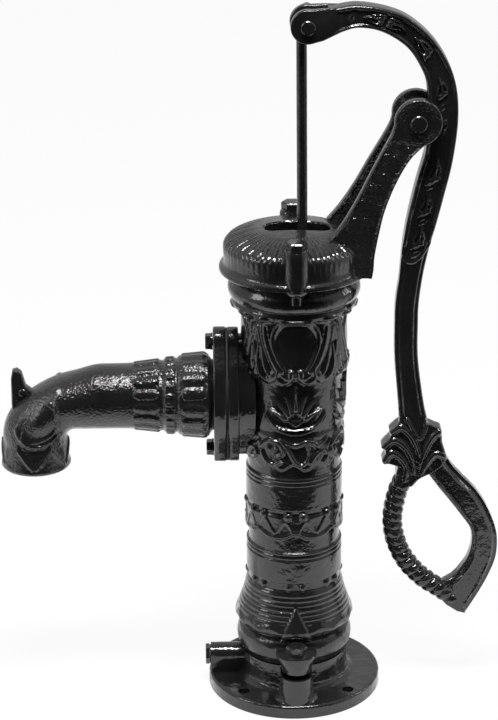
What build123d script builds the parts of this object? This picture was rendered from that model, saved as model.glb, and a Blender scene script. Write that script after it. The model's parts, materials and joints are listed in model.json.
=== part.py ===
"""Cast-iron hand well pump, for a bored well or a rainwater tank.

Frame: millimetres, +Z up, the origin on the barrel's axis at the underside of
the base.  The spout points along -X and the handle stands on the +X side,
drawn in its rest position: lowered, with the piston at the top of its stroke.
"""
from build123d import *
import math
import os

os.makedirs("parts", exist_ok=True)

# --- driving dimensions, millimetres -----------------------------------------
fit = 0.05             # radial clearance of pins, screws and tapped holes
soft_gap = 0.3         # gap beside anything soft or curved that moves
play = 0.5             # radial clearance of a bolt in its plain hole

flange_r = 82.0        # round base flange
flange_t = 12.5
flange_edge = 3.0
anchor_inset = 12.0    # ring of holes for the mounting bolts, inside the edge
anchor_d = 11.0
suction_d = 39.0       # tapping bore of the G 1 1/4 suction thread
suction_depth = 20.0
chamber_h = 11.5       # water chamber between suction thread and valve seat
seat_t = 7.0
passage_d = 34.0       # water passage under the foot valve
gasket_t = 3.0

bore_d = 75.0          # pump barrel
wall = 7.0
barrel_h = 380.0       # barrel casting, from gasket to lid
spout_rise = 256.5     # middle of the spout flange above the barrel's foot
lug_r = 15.0           # bolt lugs of base and barrel
lug_h = 18.0
joint_gap = 4.5        # open gap between a base lug and a barrel lug
bolt_d = 10.0          # M10, across flats 17
bolt_af = 17.0
bolt_head = 6.4
washer_t = 1.6

drain_z = 27.0         # drain boss on the spout's side of the base
drain_boss_r = 11.3
drain_inset = 1.6
drain_d = 10.0
drain_head = 3.4
drain_len = 22.0

spout_flange_half = 67.0   # oval flange, half its height and the radii of its ends
spout_flange_end_r = 14.0
spout_flange_mid_r = 42.0
spout_flange_t = 12.0
spout_bolt_pitch = 106.0
spout_bolt_d = 8.0
spout_bolt_af = 13.0
spout_bolt_head = 5.3
spout_bore_d = 50.0
spout_wall = 5.5
gasket_sheet = 1.5
spout_reach = 241.0    # axis of the mouth
spout_drop = 63.0      # mouth's rim below the flange's middle
mouth_r = 32.5
spur_top = 28.5        # bucket spur above the flange's middle
spur_t = 12.0

lid_overhang = 20.0    # lid's rim beyond the barrel
lid_lip = 4.0
lid_rim_h = 21.5       # rim of the lid above the barrel
lid_h = 41.5           # crown of the lid above the barrel
lid_wall = 6.0
lid_boss_r = 11.5
lid_boss_h = 37.0
slot_len = 60.0        # priming slot that the rod swings in
slot_w = 22.6
slot_x = 3.0
arm_t = 10.2           # each arm of the fork that carries the handle
handle_side_play = 1.05
arm_splay = 19.0       # how far each arm stands out further at its foot
pivot_rise = 141.2     # handle pivot above the barrel
pivot_boss_r = 21.5
pivot_d = 12.0
pin_head_t = 3.5
pin_head_lip = 1.5

lever_arm = 130.2      # pivot to rod pin, and its slope above level at rest
lever_slope = 41.2
rod_pin_x = 11.8       # rod pin from the barrel's axis, at rest
rod_pin_d = 10.0
handle_t = 20.5
fork_t = 28.6          # forked tip of the handle
fork_gap = 12.3
tip_r = 15.4
grip_t = 17.0
split_pin_d = 2.6

rod_d = 9.5
rod_eye_r = 10.8
rod_offset = 5.2       # shank of the rod beside its pin
rod_foot_x = 8.5       # where the rod's foot stands at rest
collar_r = 12.5        # collar and washer that carry the piston
collar_t = 6.0
nut_t = 8.0
rod_rise_play = 4.8    # free travel of the rod in the bridge, up and down
rod_drop_play = 2.8
rod_tip = 2.0          # rod beyond its nut

piston_z = 203.0       # underside of the piston at rest
reservoir_step = 62.0  # start of the wider chamber above it
follower_t = 8.0
neck_r = 22.0          # threaded neck that clamps the cup
neck_h = 10.0
cup_t = 3.0
cup_h = 20.0
valve_r = 20.0
valve_t = 5.0
valve_lift = 5.0
bridge_t = 8.0
bridge_slot_play = 25.5  # the rod's sideways travel in the bridge's slot
bridge_slot_ease = 2.5
leg_t = 7.0

flap_r = 25.0
weight_r = 17.0
weight_t = 9.0
weight_screw_d = 6.0

# --- values that follow ------------------------------------------------------
bore_r = bore_d / 2
barrel_r = bore_r + wall
hub_r = barrel_r + 6.0
chamber_r = hub_r - 14.0
anchor_pcd = 2 * (flange_r - anchor_inset)
drain_reach = flange_r - drain_inset
hub_top = suction_depth + chamber_h + seat_t
barrel_z = hub_top + gasket_t
barrel_top = barrel_z + barrel_h
lug_y = hub_r + 13.0
lid_bolt_y = barrel_r + 13.6
spout_z = barrel_z + spout_rise
seat_x = barrel_r + 17.0               # face of the barrel's spout flange
cup_r = bore_r - soft_gap
lid_r = barrel_r + lid_overhang
reservoir_r = bore_r + 2.5             # wider chamber above the piston's travel
pin_dx = lever_arm * math.cos(math.radians(lever_slope))
pin_dz = lever_arm * math.sin(math.radians(lever_slope))
pivot_x = rod_pin_x + pin_dx
arm_gap = handle_t + 2 * handle_side_play
bridge_slot_len = rod_d + bridge_slot_play
bridge_slot_w = rod_d + bridge_slot_ease
pivot_z = barrel_top + pivot_rise
rod_pin_z = pivot_z + pin_dz

front = Plane.XZ                       # its normal looks along -Y
side = Plane.YZ
pivot_plane = Plane(origin=(pivot_x, 0, pivot_z), x_dir=(1, 0, 0), z_dir=(0, -1, 0))
rod_pin_plane = Plane(origin=(rod_pin_x, 0, rod_pin_z), x_dir=(1, 0, 0), z_dir=(0, -1, 0))


def save(piece, label):
    """Label a finished piece and write it to its own file."""
    piece.part.label = label
    export_step(piece.part, f"parts/{label}.step")


def bolt_group(label, seat, spots, diameter, flats, head, length):
    """Hex bolts that sit on one plane and point down its normal."""
    up = Axis(seat.origin, seat.z_dir)
    with BuildPart() as bolts:
        with BuildSketch(seat):
            with Locations(*spots):
                RegularPolygon(flats / 2, 6, major_radius=False)
        extrude(amount=head)
        chamfer(bolts.edges().group_by(up)[-1], head / 6)
        with BuildSketch(seat):
            with Locations(*spots):
                Circle(diameter / 2)
        extrude(amount=-length)
    save(bolts, label)


def washer_group(label, seat, spots, hole_d, outer_d, thickness):
    """Flat washers lying on one plane."""
    with BuildPart() as washers:
        with BuildSketch(seat):
            with Locations(*spots):
                Circle(outer_d / 2)
                Circle(hole_d / 2, mode=Mode.SUBTRACT)
        extrude(amount=thickness)
    save(washers, label)


def pin_with_head(label, plane, diameter, half_width, tail):
    """Clevis pin along a plane's normal, headed in front, drilled at the back."""
    with BuildPart() as pin:
        with BuildSketch(plane.offset(half_width)):
            Circle(diameter / 2 + pin_head_lip)
        extrude(amount=pin_head_t)
        chamfer(pin.edges().group_by(Axis.Y)[0], pin_head_t / 5)
        with BuildSketch(plane.offset(half_width)):
            Circle(diameter / 2)
        extrude(amount=-(2 * half_width + tail))
        drill = plane.offset(-(half_width + tail / 2))
        with BuildSketch(Plane(origin=drill.origin, x_dir=(1, 0, 0), z_dir=(0, 0, 1))):
            Circle(split_pin_d / 2 + fit)
        extrude(amount=diameter, both=True, mode=Mode.SUBTRACT)
    save(pin, label)


def split_pin(label, plane, pin_diameter, half_width, tail):
    """Split pin through the tail of a clevis pin: one leg, a loop and a bent end."""
    centre = plane.offset(-(half_width + tail / 2)).origin
    reach = pin_diameter / 2 + split_pin_d
    with BuildPart() as cotter:
        with BuildSketch(Plane(origin=centre, x_dir=(1, 0, 0), z_dir=(0, 0, 1))):
            Circle(split_pin_d / 2)
        extrude(amount=reach, both=True)
        with BuildSketch(Plane(origin=centre + Vector(0, 0, reach), x_dir=(1, 0, 0),
                               z_dir=(0, -1, 0))):
            with Locations((0, split_pin_d)):
                Circle(1.8 * split_pin_d)
                Circle(0.9 * split_pin_d, mode=Mode.SUBTRACT)
        extrude(amount=split_pin_d / 2, both=True)
        with BuildSketch(Plane(origin=centre - Vector(0, 0, reach), x_dir=(0, 1, 0),
                               z_dir=(-1, 0, 0))):
            Circle(split_pin_d / 2)
        extrude(amount=1.6 * split_pin_d, both=True)
    save(cotter, label)


# --- base --------------------------------------------------------------------
with BuildPart() as base_foot:
    with BuildSketch():
        Circle(flange_r)
    extrude(amount=flange_t)
    fillet(base_foot.edges().group_by(Axis.Z)[-1], flange_edge)
    with BuildSketch(Plane.XY.offset(flange_t / 2)):
        with Locations((0, lug_y), (0, -lug_y)):
            Circle(lug_r + 2)
        Rectangle(2 * lug_r + 4, 2 * lug_y)
    extrude(amount=hub_top - joint_gap / 3 - flange_t / 2, taper=4)
    with BuildSketch(Plane.XY.offset(flange_t / 2)):
        Circle(hub_r)
    extrude(amount=hub_top - flange_t / 2)
    with BuildSketch(side.offset(-drain_reach)):
        with Locations((0, drain_z)):
            Circle(drain_boss_r)
        with Locations((0, drain_z / 2 + flange_edge)):
            Rectangle(2 * drain_boss_r, drain_z - 2 * flange_edge)
    extrude(amount=drain_reach - chamber_r)
    with BuildSketch():
        Circle(suction_d / 2)
    extrude(amount=suction_depth, mode=Mode.SUBTRACT)
    with BuildSketch(Plane.XY.offset(suction_depth)):
        Circle(chamber_r)
    extrude(amount=chamber_h, mode=Mode.SUBTRACT)
    with BuildSketch(Plane.XY.offset(suction_depth)):
        Circle(passage_d / 2)
    extrude(amount=hub_top, mode=Mode.SUBTRACT)
    with BuildSketch():
        with PolarLocations(anchor_pcd / 2, 4, 45):
            Circle(anchor_d / 2)
    extrude(amount=flange_t, mode=Mode.SUBTRACT)
    with BuildSketch(Plane.XY.offset(flange_t)):
        with Locations((0, lug_y), (0, -lug_y)):
            Circle(bolt_d / 2 + fit)
    extrude(amount=hub_top, mode=Mode.SUBTRACT)
    with BuildSketch(side.offset(-drain_reach)):
        with Locations((0, drain_z)):
            Circle(drain_d / 2 + fit)
    extrude(amount=drain_reach - chamber_r + 1, mode=Mode.SUBTRACT)
save(base_foot, "base_foot")

drain_seat = Plane(origin=(-drain_reach - washer_t, 0, drain_z), x_dir=(0, 1, 0), z_dir=(-1, 0, 0))
with BuildPart() as drain_screw:
    with BuildSketch(drain_seat):
        RegularPolygon(bolt_af / 2, 6, major_radius=False)
    extrude(amount=drain_head)
    chamfer(drain_screw.edges().group_by(Axis.X)[0], drain_head / 5)
    with BuildSketch(drain_seat):
        Circle(drain_d / 2)
    extrude(amount=-drain_len)
save(drain_screw, "drain_screw")
washer_group("drain_washer", drain_seat.offset(-washer_t), [(0, 0)], drain_d + 2 * fit,
             1.8 * drain_d, washer_t - fit)

# --- foot valve --------------------------------------------------------------
hinge_x = flap_r + 2.0
tongue_w = 24.0
with BuildPart() as foot_gasket:
    with BuildSketch(Plane.XY.offset(hub_top)):
        Circle(hub_r - 2.5)
        Circle(bore_r, mode=Mode.SUBTRACT)
        with Locations(((hinge_x + soft_gap + bore_r + 2) / 2, 0)):
            Rectangle(bore_r + 2 - hinge_x - soft_gap, tongue_w)
    extrude(amount=gasket_t)
save(foot_gasket, "foot_gasket")

with BuildPart() as valve_flap:
    with BuildSketch(Plane.XY.offset(hub_top + fit)):
        Circle(flap_r)
        with Locations((hinge_x / 2, 0)):
            Rectangle(hinge_x, tongue_w)
        Circle(weight_screw_d / 2 + fit, mode=Mode.SUBTRACT)
    extrude(amount=gasket_t - fit)
save(valve_flap, "valve_flap")

with BuildPart() as valve_weight:
    with BuildSketch(Plane.XY.offset(hub_top + gasket_t)):
        Circle(weight_r)
    extrude(amount=weight_t)
    fillet(valve_weight.edges().group_by(Axis.Z)[-1], weight_t / 3)
    with BuildSketch(Plane.XY.offset(hub_top)):
        Circle(weight_screw_d / 2 + fit)
    extrude(amount=gasket_t + weight_t, mode=Mode.SUBTRACT)
save(valve_weight, "valve_weight")

with BuildPart() as valve_screw:
    with BuildSketch(Plane.XY.offset(hub_top + gasket_t + weight_t)):
        RegularPolygon(weight_screw_d * 0.85, 6, major_radius=False)
    extrude(amount=4)
    with BuildSketch(Plane.XY.offset(hub_top - 6)):
        Circle(weight_screw_d / 2)
    extrude(amount=weight_t + gasket_t + 6)
    with BuildSketch(Plane.XY.offset(hub_top + fit)):
        Circle(weight_screw_d)
    extrude(amount=-2.5)
save(valve_screw, "valve_screw")

# --- barrel ------------------------------------------------------------------
with BuildPart() as barrel:
    with BuildSketch(Plane.XY.offset(barrel_z)):
        with Locations((0, lug_y), (0, -lug_y)):
            Circle(lug_r - 1)
        Rectangle(2 * lug_r - 2, 2 * lug_y)
    extrude(amount=lug_h, taper=-6)
    with BuildSketch(Plane.XY.offset(barrel_top)):
        with Locations((0, lid_bolt_y), (0, -lid_bolt_y)):
            Circle(lid_boss_r)
        Rectangle(2 * lid_boss_r, 2 * lid_bolt_y)
    extrude(amount=-lug_h, taper=8)
    with BuildSketch(front):
        with BuildLine():
            foot = Line((0, barrel_z), (barrel_r + 7.5, barrel_z))
            bulge = ThreePointArc(foot @ 1, (barrel_r + 9.9, barrel_z + 15), (barrel_r + 5.5, barrel_z + 25))
            skirt = ThreePointArc(bulge @ 1, (barrel_r + 10.4, barrel_z + 33.5), (barrel_r + 9, barrel_z + 40))
            waist = ThreePointArc(skirt @ 1, (barrel_r + 4.3, barrel_z + 53), (barrel_r, barrel_z + 66))
            shaft = Line(waist @ 1, (barrel_r, barrel_top - 150))
            chest = Spline(shaft @ 1, (barrel_r + 1.6, barrel_top - 110), (barrel_r + 3.5, barrel_top - 75),
                           (barrel_r + 3.5, barrel_top - 42), tangents=[(0, 1), (0, 1)])
            collar = ThreePointArc(chest @ 1, (barrel_r + 7, barrel_top - 34), (barrel_r + 15, barrel_top - 30))
            ring = ThreePointArc(collar @ 1, (barrel_r + 16.4, barrel_top - 20), (barrel_r + 13, barrel_top - 10))
            Polyline(ring @ 1, (barrel_r + 13, barrel_top), (0, barrel_top), foot @ 0)
        make_face()
    revolve(axis=Axis.Z)
    flange_seat = Plane(origin=(-seat_x, 0, spout_z), x_dir=(0, 1, 0), z_dir=(-1, 0, 0))
    with BuildSketch(flange_seat):
        with BuildLine():
            end_y = spout_flange_half - spout_flange_end_r
            oval = Polyline((spout_flange_end_r, end_y), (spout_flange_mid_r, 6), (spout_flange_mid_r, -6),
                            (spout_flange_end_r, -end_y))
            ThreePointArc(oval @ 1, (0, -spout_flange_half), (-spout_flange_end_r, -end_y))
            Polyline((-spout_flange_end_r, -end_y), (-spout_flange_mid_r, -6), (-spout_flange_mid_r, 6),
                     (-spout_flange_end_r, end_y))
            ThreePointArc((-spout_flange_end_r, end_y), (0, spout_flange_half), oval @ 0)
        make_face()
    extrude(amount=-(seat_x - bore_r))
    with BuildSketch(Plane.XY.offset(barrel_z)):
        Circle(bore_r)
    extrude(amount=barrel_h, mode=Mode.SUBTRACT)
    wide_z = piston_z + reservoir_step
    with BuildSketch(Plane.XY.offset(wide_z)):
        Circle(reservoir_r)
    extrude(amount=barrel_top - wide_z, mode=Mode.SUBTRACT)
    with BuildSketch(flange_seat):
        Circle(spout_bore_d / 2)
    extrude(amount=-seat_x, mode=Mode.SUBTRACT)
    with BuildSketch(flange_seat):
        with Locations((0, spout_bolt_pitch / 2), (0, -spout_bolt_pitch / 2)):
            Circle(spout_bolt_d / 2 + fit)
    extrude(amount=-13, mode=Mode.SUBTRACT)
    with BuildSketch(Plane.XY.offset(barrel_z)):
        with Locations((0, lug_y), (0, -lug_y)):
            Circle(bolt_d / 2 + play)
    extrude(amount=lug_h, mode=Mode.SUBTRACT)
    with BuildSketch(Plane.XY.offset(barrel_z + lug_h)):
        with Locations((0, lug_y), (0, -lug_y)):
            Circle(bolt_d + 1)
    extrude(amount=barrel_h - 2 * lug_h - 30, mode=Mode.SUBTRACT)
    with BuildSketch(Plane.XY.offset(barrel_top)):
        with Locations((0, lid_bolt_y), (0, -lid_bolt_y)):
            Circle(bolt_d / 2 + fit)
    extrude(amount=-lug_h, mode=Mode.SUBTRACT)
save(barrel, "barrel")

# --- spout -------------------------------------------------------------------
spout_plane = flange_seat.offset(gasket_sheet)
with BuildPart() as spout_gasket:
    with BuildSketch(flange_seat):
        Ellipse(spout_flange_mid_r - 6, spout_flange_half - 2)
        Circle(spout_bore_d / 2, mode=Mode.SUBTRACT)
        with Locations((0, spout_bolt_pitch / 2), (0, -spout_bolt_pitch / 2)):
            Circle(spout_bolt_d / 2 + play, mode=Mode.SUBTRACT)
    extrude(amount=gasket_sheet)
save(spout_gasket, "spout_gasket")

cuff_r = spout_bore_d / 2 + 15.0
tube_r = spout_bore_d / 2 + spout_wall
bend_r = 38.0
mouth_z = spout_z - spout_drop
bend_x = spout_reach - bend_r
cuff_x = seat_x + gasket_sheet + spout_flange_t
with BuildPart() as spout:
    with BuildSketch(spout_plane):
        with BuildLine():
            oval = Polyline((spout_flange_end_r, end_y), (spout_flange_mid_r, 6), (spout_flange_mid_r, -6),
                            (spout_flange_end_r, -end_y))
            ThreePointArc(oval @ 1, (0, -spout_flange_half), (-spout_flange_end_r, -end_y))
            Polyline((-spout_flange_end_r, -end_y), (-spout_flange_mid_r, -6), (-spout_flange_mid_r, 6),
                     (-spout_flange_end_r, end_y))
            ThreePointArc((-spout_flange_end_r, end_y), (0, spout_flange_half), oval @ 0)
        make_face()
    extrude(amount=spout_flange_t)
    with BuildSketch(front):
        with BuildLine():
            axis_line = Line((-seat_x - gasket_sheet, spout_z), (-bend_x, spout_z))
            Line(axis_line @ 0, (-cuff_x, spout_z + cuff_r - 8))
            cuff = Polyline((-cuff_x, spout_z + cuff_r - 8), (-cuff_x, spout_z + cuff_r),
                            (-cuff_x - 28, spout_z + cuff_r - 2.6), (-cuff_x - 32, spout_z + cuff_r - 4),
                            (-cuff_x - 42, spout_z + cuff_r - 3.5), (-cuff_x - 47, spout_z + cuff_r - 5.5),
                            (-cuff_x - 74, spout_z + cuff_r - 8.5), (-bend_x, spout_z + tube_r))
            Line(cuff @ 1, axis_line @ 1)
        make_face()
    revolve(axis=Axis((0, 0, spout_z), (-1, 0, 0)))
    with BuildSketch(side.offset(-bend_x)):
        with Locations((0, spout_z)):
            Circle(tube_r)
    revolve(axis=Axis((-bend_x, 0, spout_z - bend_r), (0, -1, 0)), revolution_arc=90)
    with BuildSketch(front):
        with BuildLine():
            bell_axis = Line((-spout_reach, mouth_z), (-spout_reach, spout_z - bend_r))
            bell = Polyline(bell_axis @ 1, (-spout_reach + tube_r, spout_z - bend_r),
                            (-spout_reach + tube_r - 1.5, mouth_z + 22), (-spout_reach + mouth_r, mouth_z + 8),
                            (-spout_reach + mouth_r, mouth_z), bell_axis @ 0)
        make_face()
    revolve(axis=Axis((-spout_reach, 0, 0), (0, 0, 1)))
    with BuildSketch(front):
        with BuildLine():
            spur_x = -spout_reach - spur_t / 2 - 8
            Polyline((spur_x - spur_t / 2, spout_z - bend_r + 4), (spur_x - spur_t / 2, spout_z + spur_top - 4),
                     (spur_x, spout_z + spur_top), (spur_x + spur_t / 2, spout_z + spur_top - 5),
                     (spur_x + spur_t, spout_z + spur_top - 20), (spur_x + 2 * spur_t, spout_z),
                     (spur_x + 2 * spur_t, spout_z - bend_r + 4), close=True)
        make_face()
    extrude(amount=spur_t / 2, both=True)
    with BuildSketch(spout_plane):
        Circle(spout_bore_d / 2)
    extrude(amount=bend_x - seat_x - gasket_sheet, mode=Mode.SUBTRACT)
    with BuildSketch(side.offset(-bend_x)):
        with Locations((0, spout_z)):
            Circle(spout_bore_d / 2)
    revolve(axis=Axis((-bend_x, 0, spout_z - bend_r), (0, -1, 0)), revolution_arc=90, mode=Mode.SUBTRACT)
    with BuildSketch(Plane.XY.offset(mouth_z)):
        with Locations((-spout_reach, 0)):
            Circle(spout_bore_d / 2)
    extrude(amount=spout_drop - bend_r, mode=Mode.SUBTRACT)
    with BuildSketch(spout_plane):
        with Locations((0, spout_bolt_pitch / 2), (0, -spout_bolt_pitch / 2)):
            Circle(spout_bolt_d / 2 + play)
    extrude(amount=spout_flange_t, mode=Mode.SUBTRACT)
save(spout, "spout")

spout_bolt_seat = spout_plane.offset(spout_flange_t)
spout_bolt_spots = [(0, spout_bolt_pitch / 2), (0, -spout_bolt_pitch / 2)]
washer_group("spout_washers", spout_bolt_seat, spout_bolt_spots, spout_bolt_d + 2 * fit, 16.0, washer_t)
bolt_group("spout_bolts", spout_bolt_seat.offset(washer_t), spout_bolt_spots, spout_bolt_d,
           spout_bolt_af, spout_bolt_head, washer_t + spout_flange_t + gasket_sheet + 10)

base_bolt_seat = Plane.XY.offset(barrel_z + lug_h)
base_bolt_spots = [(0, lug_y), (0, -lug_y)]
washer_group("base_washers", base_bolt_seat, base_bolt_spots, bolt_d + 2 * fit, 2 * bolt_d, washer_t)
bolt_group("base_bolts", base_bolt_seat.offset(washer_t), base_bolt_spots, bolt_d, bolt_af,
           bolt_head, washer_t + lug_h + joint_gap + 16)

# --- lid with its fork -------------------------------------------------------
lid_top = barrel_top + lid_h
arm_mid = (arm_gap + arm_t) / 2
with BuildPart() as lid_bracket:
    with BuildSketch(front):
        with BuildLine():
            inner = Spline((pivot_x - 20.5, pivot_z + 4), (pivot_x - 29, pivot_z - 20),
                           (pivot_x - 55, pivot_z - 69), (pivot_x - 80, pivot_z - 105))
            foot = Polyline(inner @ 1, (lid_r - 22, barrel_top + 12), (lid_r - 22, barrel_top + 3),
                            (lid_r + 3, barrel_top + 3), (lid_r + 5.5, barrel_top + 12))
            outer = Spline(foot @ 1, (pivot_x - 33, pivot_z - 90), (pivot_x - 19.5, pivot_z - 52),
                           (pivot_x + 6, pivot_z - 19.5))
            Polyline(outer @ 1, (pivot_x + 6, pivot_z + 4), inner @ 0)
        make_face()
        with Locations((pivot_x, pivot_z)):
            Circle(pivot_boss_r)
    extrude(amount=2 * arm_gap + arm_splay, both=True)
    with BuildSketch(side):
        with BuildLine():
            knee_z = pivot_z - pivot_boss_r
            foot_z = barrel_top
            Polyline((arm_gap / 2, pivot_z + pivot_boss_r), (arm_gap / 2, knee_z),
                     (arm_gap / 2 + arm_splay, foot_z), (arm_gap / 2 + arm_splay + arm_t, foot_z),
                     (arm_gap / 2 + arm_t, knee_z), (arm_gap / 2 + arm_t, pivot_z + pivot_boss_r), close=True)
        make_face()
        mirror(about=Plane.YZ)
    extrude(amount=2 * pivot_x, mode=Mode.INTERSECT)
    with BuildSketch(front):
        with BuildLine():
            lip = Polyline((0, barrel_top), (lid_r + lid_lip, barrel_top), (lid_r + lid_lip, barrel_top + 4),
                           (lid_r, barrel_top + 7), (lid_r, barrel_top + lid_rim_h))
            dome = Spline(lip @ 1, (lid_r - 9, barrel_top + lid_rim_h + 11), (lid_r / 2, lid_top - 3),
                          (0, lid_top), tangents=[(-0.5, 1), (-1, 0)])
            Line(dome @ 1, lip @ 0)
        make_face()
    revolve(axis=Axis.Z)
    with BuildSketch(Plane.XY.offset(barrel_top)):
        with Locations((0, lid_bolt_y), (0, -lid_bolt_y)):
            Circle(lid_boss_r)
    extrude(amount=lid_boss_h)
    with BuildSketch(front):
        with BuildLine():
            hollow = Polyline((0, barrel_top), (reservoir_r, barrel_top),
                              (reservoir_r + 6, barrel_top + lid_rim_h - lid_wall))
            vault = Spline(hollow @ 1, (lid_r / 2 + 2, lid_top - lid_wall - 3), (0, lid_top - lid_wall),
                           tangents=[(0, 1), (-1, 0)])
            Line(vault @ 1, hollow @ 0)
        make_face()
    revolve(axis=Axis.Z, mode=Mode.SUBTRACT)
    with BuildSketch(Plane.XY.offset(barrel_top + lid_rim_h)):
        with Locations((slot_x, 0)):
            SlotOverall(slot_len, slot_w)
    extrude(amount=lid_h, mode=Mode.SUBTRACT)
    with BuildSketch(Plane.XY.offset(barrel_top)):
        with Locations((0, lid_bolt_y), (0, -lid_bolt_y)):
            Circle(bolt_d / 2 + play)
    extrude(amount=lid_boss_h, mode=Mode.SUBTRACT)
    with BuildSketch(Plane.XY.offset(barrel_top + lid_boss_h)):
        with Locations((0, lid_bolt_y), (0, -lid_bolt_y)):
            Circle(bolt_d)
    extrude(amount=lid_h, mode=Mode.SUBTRACT)
    with BuildSketch(pivot_plane):
        Circle(pivot_d / 2 + fit)
    extrude(amount=2 * arm_gap, both=True, mode=Mode.SUBTRACT)
save(lid_bracket, "lid_bracket")

lid_bolt_seat = Plane.XY.offset(barrel_top + lid_boss_h)
lid_bolt_spots = [(0, lid_bolt_y), (0, -lid_bolt_y)]
washer_group("lid_washers", lid_bolt_seat, lid_bolt_spots, bolt_d + 2 * fit, 2 * bolt_d - 0.5, washer_t)
bolt_group("lid_bolts", lid_bolt_seat.offset(washer_t), lid_bolt_spots, bolt_d, bolt_af,
           bolt_head, washer_t + lid_boss_h + lug_h - 4)

# --- handle ------------------------------------------------------------------
pivot_half = arm_gap / 2 + arm_t
fork_half = fork_t / 2
pin_tail = 7.0
grip_z = -494.0            # bottom of the grip under the pivot
loop_top = grip_z + 157
with BuildPart() as handle:
    with BuildSketch(pivot_plane):
        with BuildLine():
            back = Spline((-pin_dx, pin_dz + tip_r - 2), (-72, 103), (-44, 104), (-6, 90), (22, 60),
                          (36.5, 5), (28, -58), (9, -140), (4, -190), (5, -232), (15, -292))
            heel = Polyline(back @ 1, (28, -302), (30, -318), (35, loop_top + 6), (20, loop_top - 20),
                            (-10, loop_top), (-27, loop_top + 5), (-28, -318), (-21, -302), (-12, -292))
            shank = Spline(heel @ 1, (-17, -228), (-17, -190), (-13, -140), (-6, -88), (9, -25))
            belly = Spline(shank @ 1, (8, 28), (-6, 61), (-30, 79), (-53.5, 84), (-76, 76),
                           (-pin_dx + 5, pin_dz - tip_r + 1))
            Line(belly @ 1, back @ 0)
        make_face()
        Circle(pivot_boss_r - 4)
    extrude(amount=handle_t / 2, both=True)
    with BuildSketch(pivot_plane):
        with BuildLine():
            rear = Spline((34, loop_top + 6), (62, -365), (83.5, -418), (65, -474), (53, grip_z))
            Line(rear @ 1, (45, grip_z + 2))
            rope = Spline((45, grip_z + 2), (-2, -456), (-25.5, -405), (-22, -374), (-9, loop_top))
            Line(rope @ 1, rear @ 0)
        make_face()
        with BuildLine():
            eye_right = Spline((9, loop_top - 11), (37, -374), (59.5, -418), (37, -461))
            eye_left = Spline(eye_right @ 1, (3, -430), (-7, -395), (9, loop_top - 11))
        make_face(mode=Mode.SUBTRACT)
    extrude(amount=grip_t / 2, both=True)
    with BuildSketch(rod_pin_plane):
        Circle(tip_r)
        with Locations((tip_r / 2 + 4, 1)):
            Rectangle(tip_r + 8, 1.7 * tip_r)
    extrude(amount=fork_half, both=True)
    with BuildSketch(rod_pin_plane):
        with Locations((-tip_r / 2 + 3, 0)):
            Rectangle(3 * tip_r + 4, 4 * tip_r)
    extrude(amount=fork_gap / 2, both=True, mode=Mode.SUBTRACT)
    with BuildSketch(rod_pin_plane):
        Circle(rod_pin_d / 2 + fit)
    extrude(amount=fork_half, both=True, mode=Mode.SUBTRACT)
    with BuildSketch(pivot_plane):
        Circle(pivot_d / 2 + fit)
    extrude(amount=handle_t, both=True, mode=Mode.SUBTRACT)
save(handle, "handle")

pin_with_head("pivot_pin", pivot_plane, pivot_d, pivot_half, pin_tail)
split_pin("pivot_split_pin", pivot_plane, pivot_d, pivot_half, pin_tail)
washer_group("pivot_washer", pivot_plane.offset(-pivot_half - washer_t), [(0, 0)],
             pivot_d + 2 * fit, 1.9 * pivot_d, washer_t)
pin_with_head("rod_pin", rod_pin_plane, rod_pin_d, fork_half, pin_tail)
split_pin("rod_split_pin", rod_pin_plane, rod_pin_d, fork_half, pin_tail)
washer_group("rod_pin_washer", rod_pin_plane.offset(-fork_half - washer_t), [(0, 0)],
             rod_pin_d + 2 * fit, 1.9 * rod_pin_d, washer_t)

# --- piston rod --------------------------------------------------------------
rod_stack = rod_tip + nut_t + washer_t + rod_rise_play + rod_drop_play + 1
bridge_z = piston_z + follower_t + neck_h + valve_t + valve_lift + rod_stack
bridge_top = bridge_z + bridge_t
collar_z = bridge_top + rod_drop_play
washer_z = bridge_z - rod_rise_play - washer_t
rod_foot_z = washer_z - nut_t - rod_tip
rod_top_x = rod_pin_x - rod_offset
rod_lean = math.atan2(rod_foot_x - rod_top_x, rod_pin_z - rod_foot_z)
rod_dir = Vector(math.sin(rod_lean), 0, -math.cos(rod_lean))
rod_top = Vector(rod_top_x, 0, rod_pin_z)
rod_plane = Plane(origin=rod_top, x_dir=(math.cos(rod_lean), 0, math.sin(rod_lean)), z_dir=rod_dir)
with BuildPart() as piston_rod:
    with BuildSketch(rod_plane):
        Circle(rod_d / 2)
    extrude(amount=rod_pin_z - rod_foot_z)
    with BuildSketch(rod_pin_plane):
        Circle(rod_eye_r)
    extrude(amount=fork_gap / 2 - soft_gap, both=True)
    with BuildSketch(rod_pin_plane):
        Circle(rod_pin_d / 2 + fit)
    extrude(amount=fork_gap, both=True, mode=Mode.SUBTRACT)
save(piston_rod, "piston_rod")

with BuildPart() as rod_collar:
    with BuildSketch(rod_plane.offset(rod_pin_z - collar_z)):
        Circle(collar_r)
        Circle(rod_d / 2 + fit, mode=Mode.SUBTRACT)
    extrude(amount=-collar_t)
save(rod_collar, "rod_collar")
washer_group("rod_washer", rod_plane.offset(rod_pin_z - washer_z - washer_t), [(0, 0)],
             rod_d + 2 * fit, 2 * collar_r, washer_t)
with BuildPart() as rod_nut:
    with BuildSketch(rod_plane.offset(rod_pin_z - washer_z)):
        RegularPolygon(bolt_af / 2, 6, major_radius=False)
        Circle(rod_d / 2 + fit, mode=Mode.SUBTRACT)
    extrude(amount=nut_t)
save(rod_nut, "rod_nut")

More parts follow.
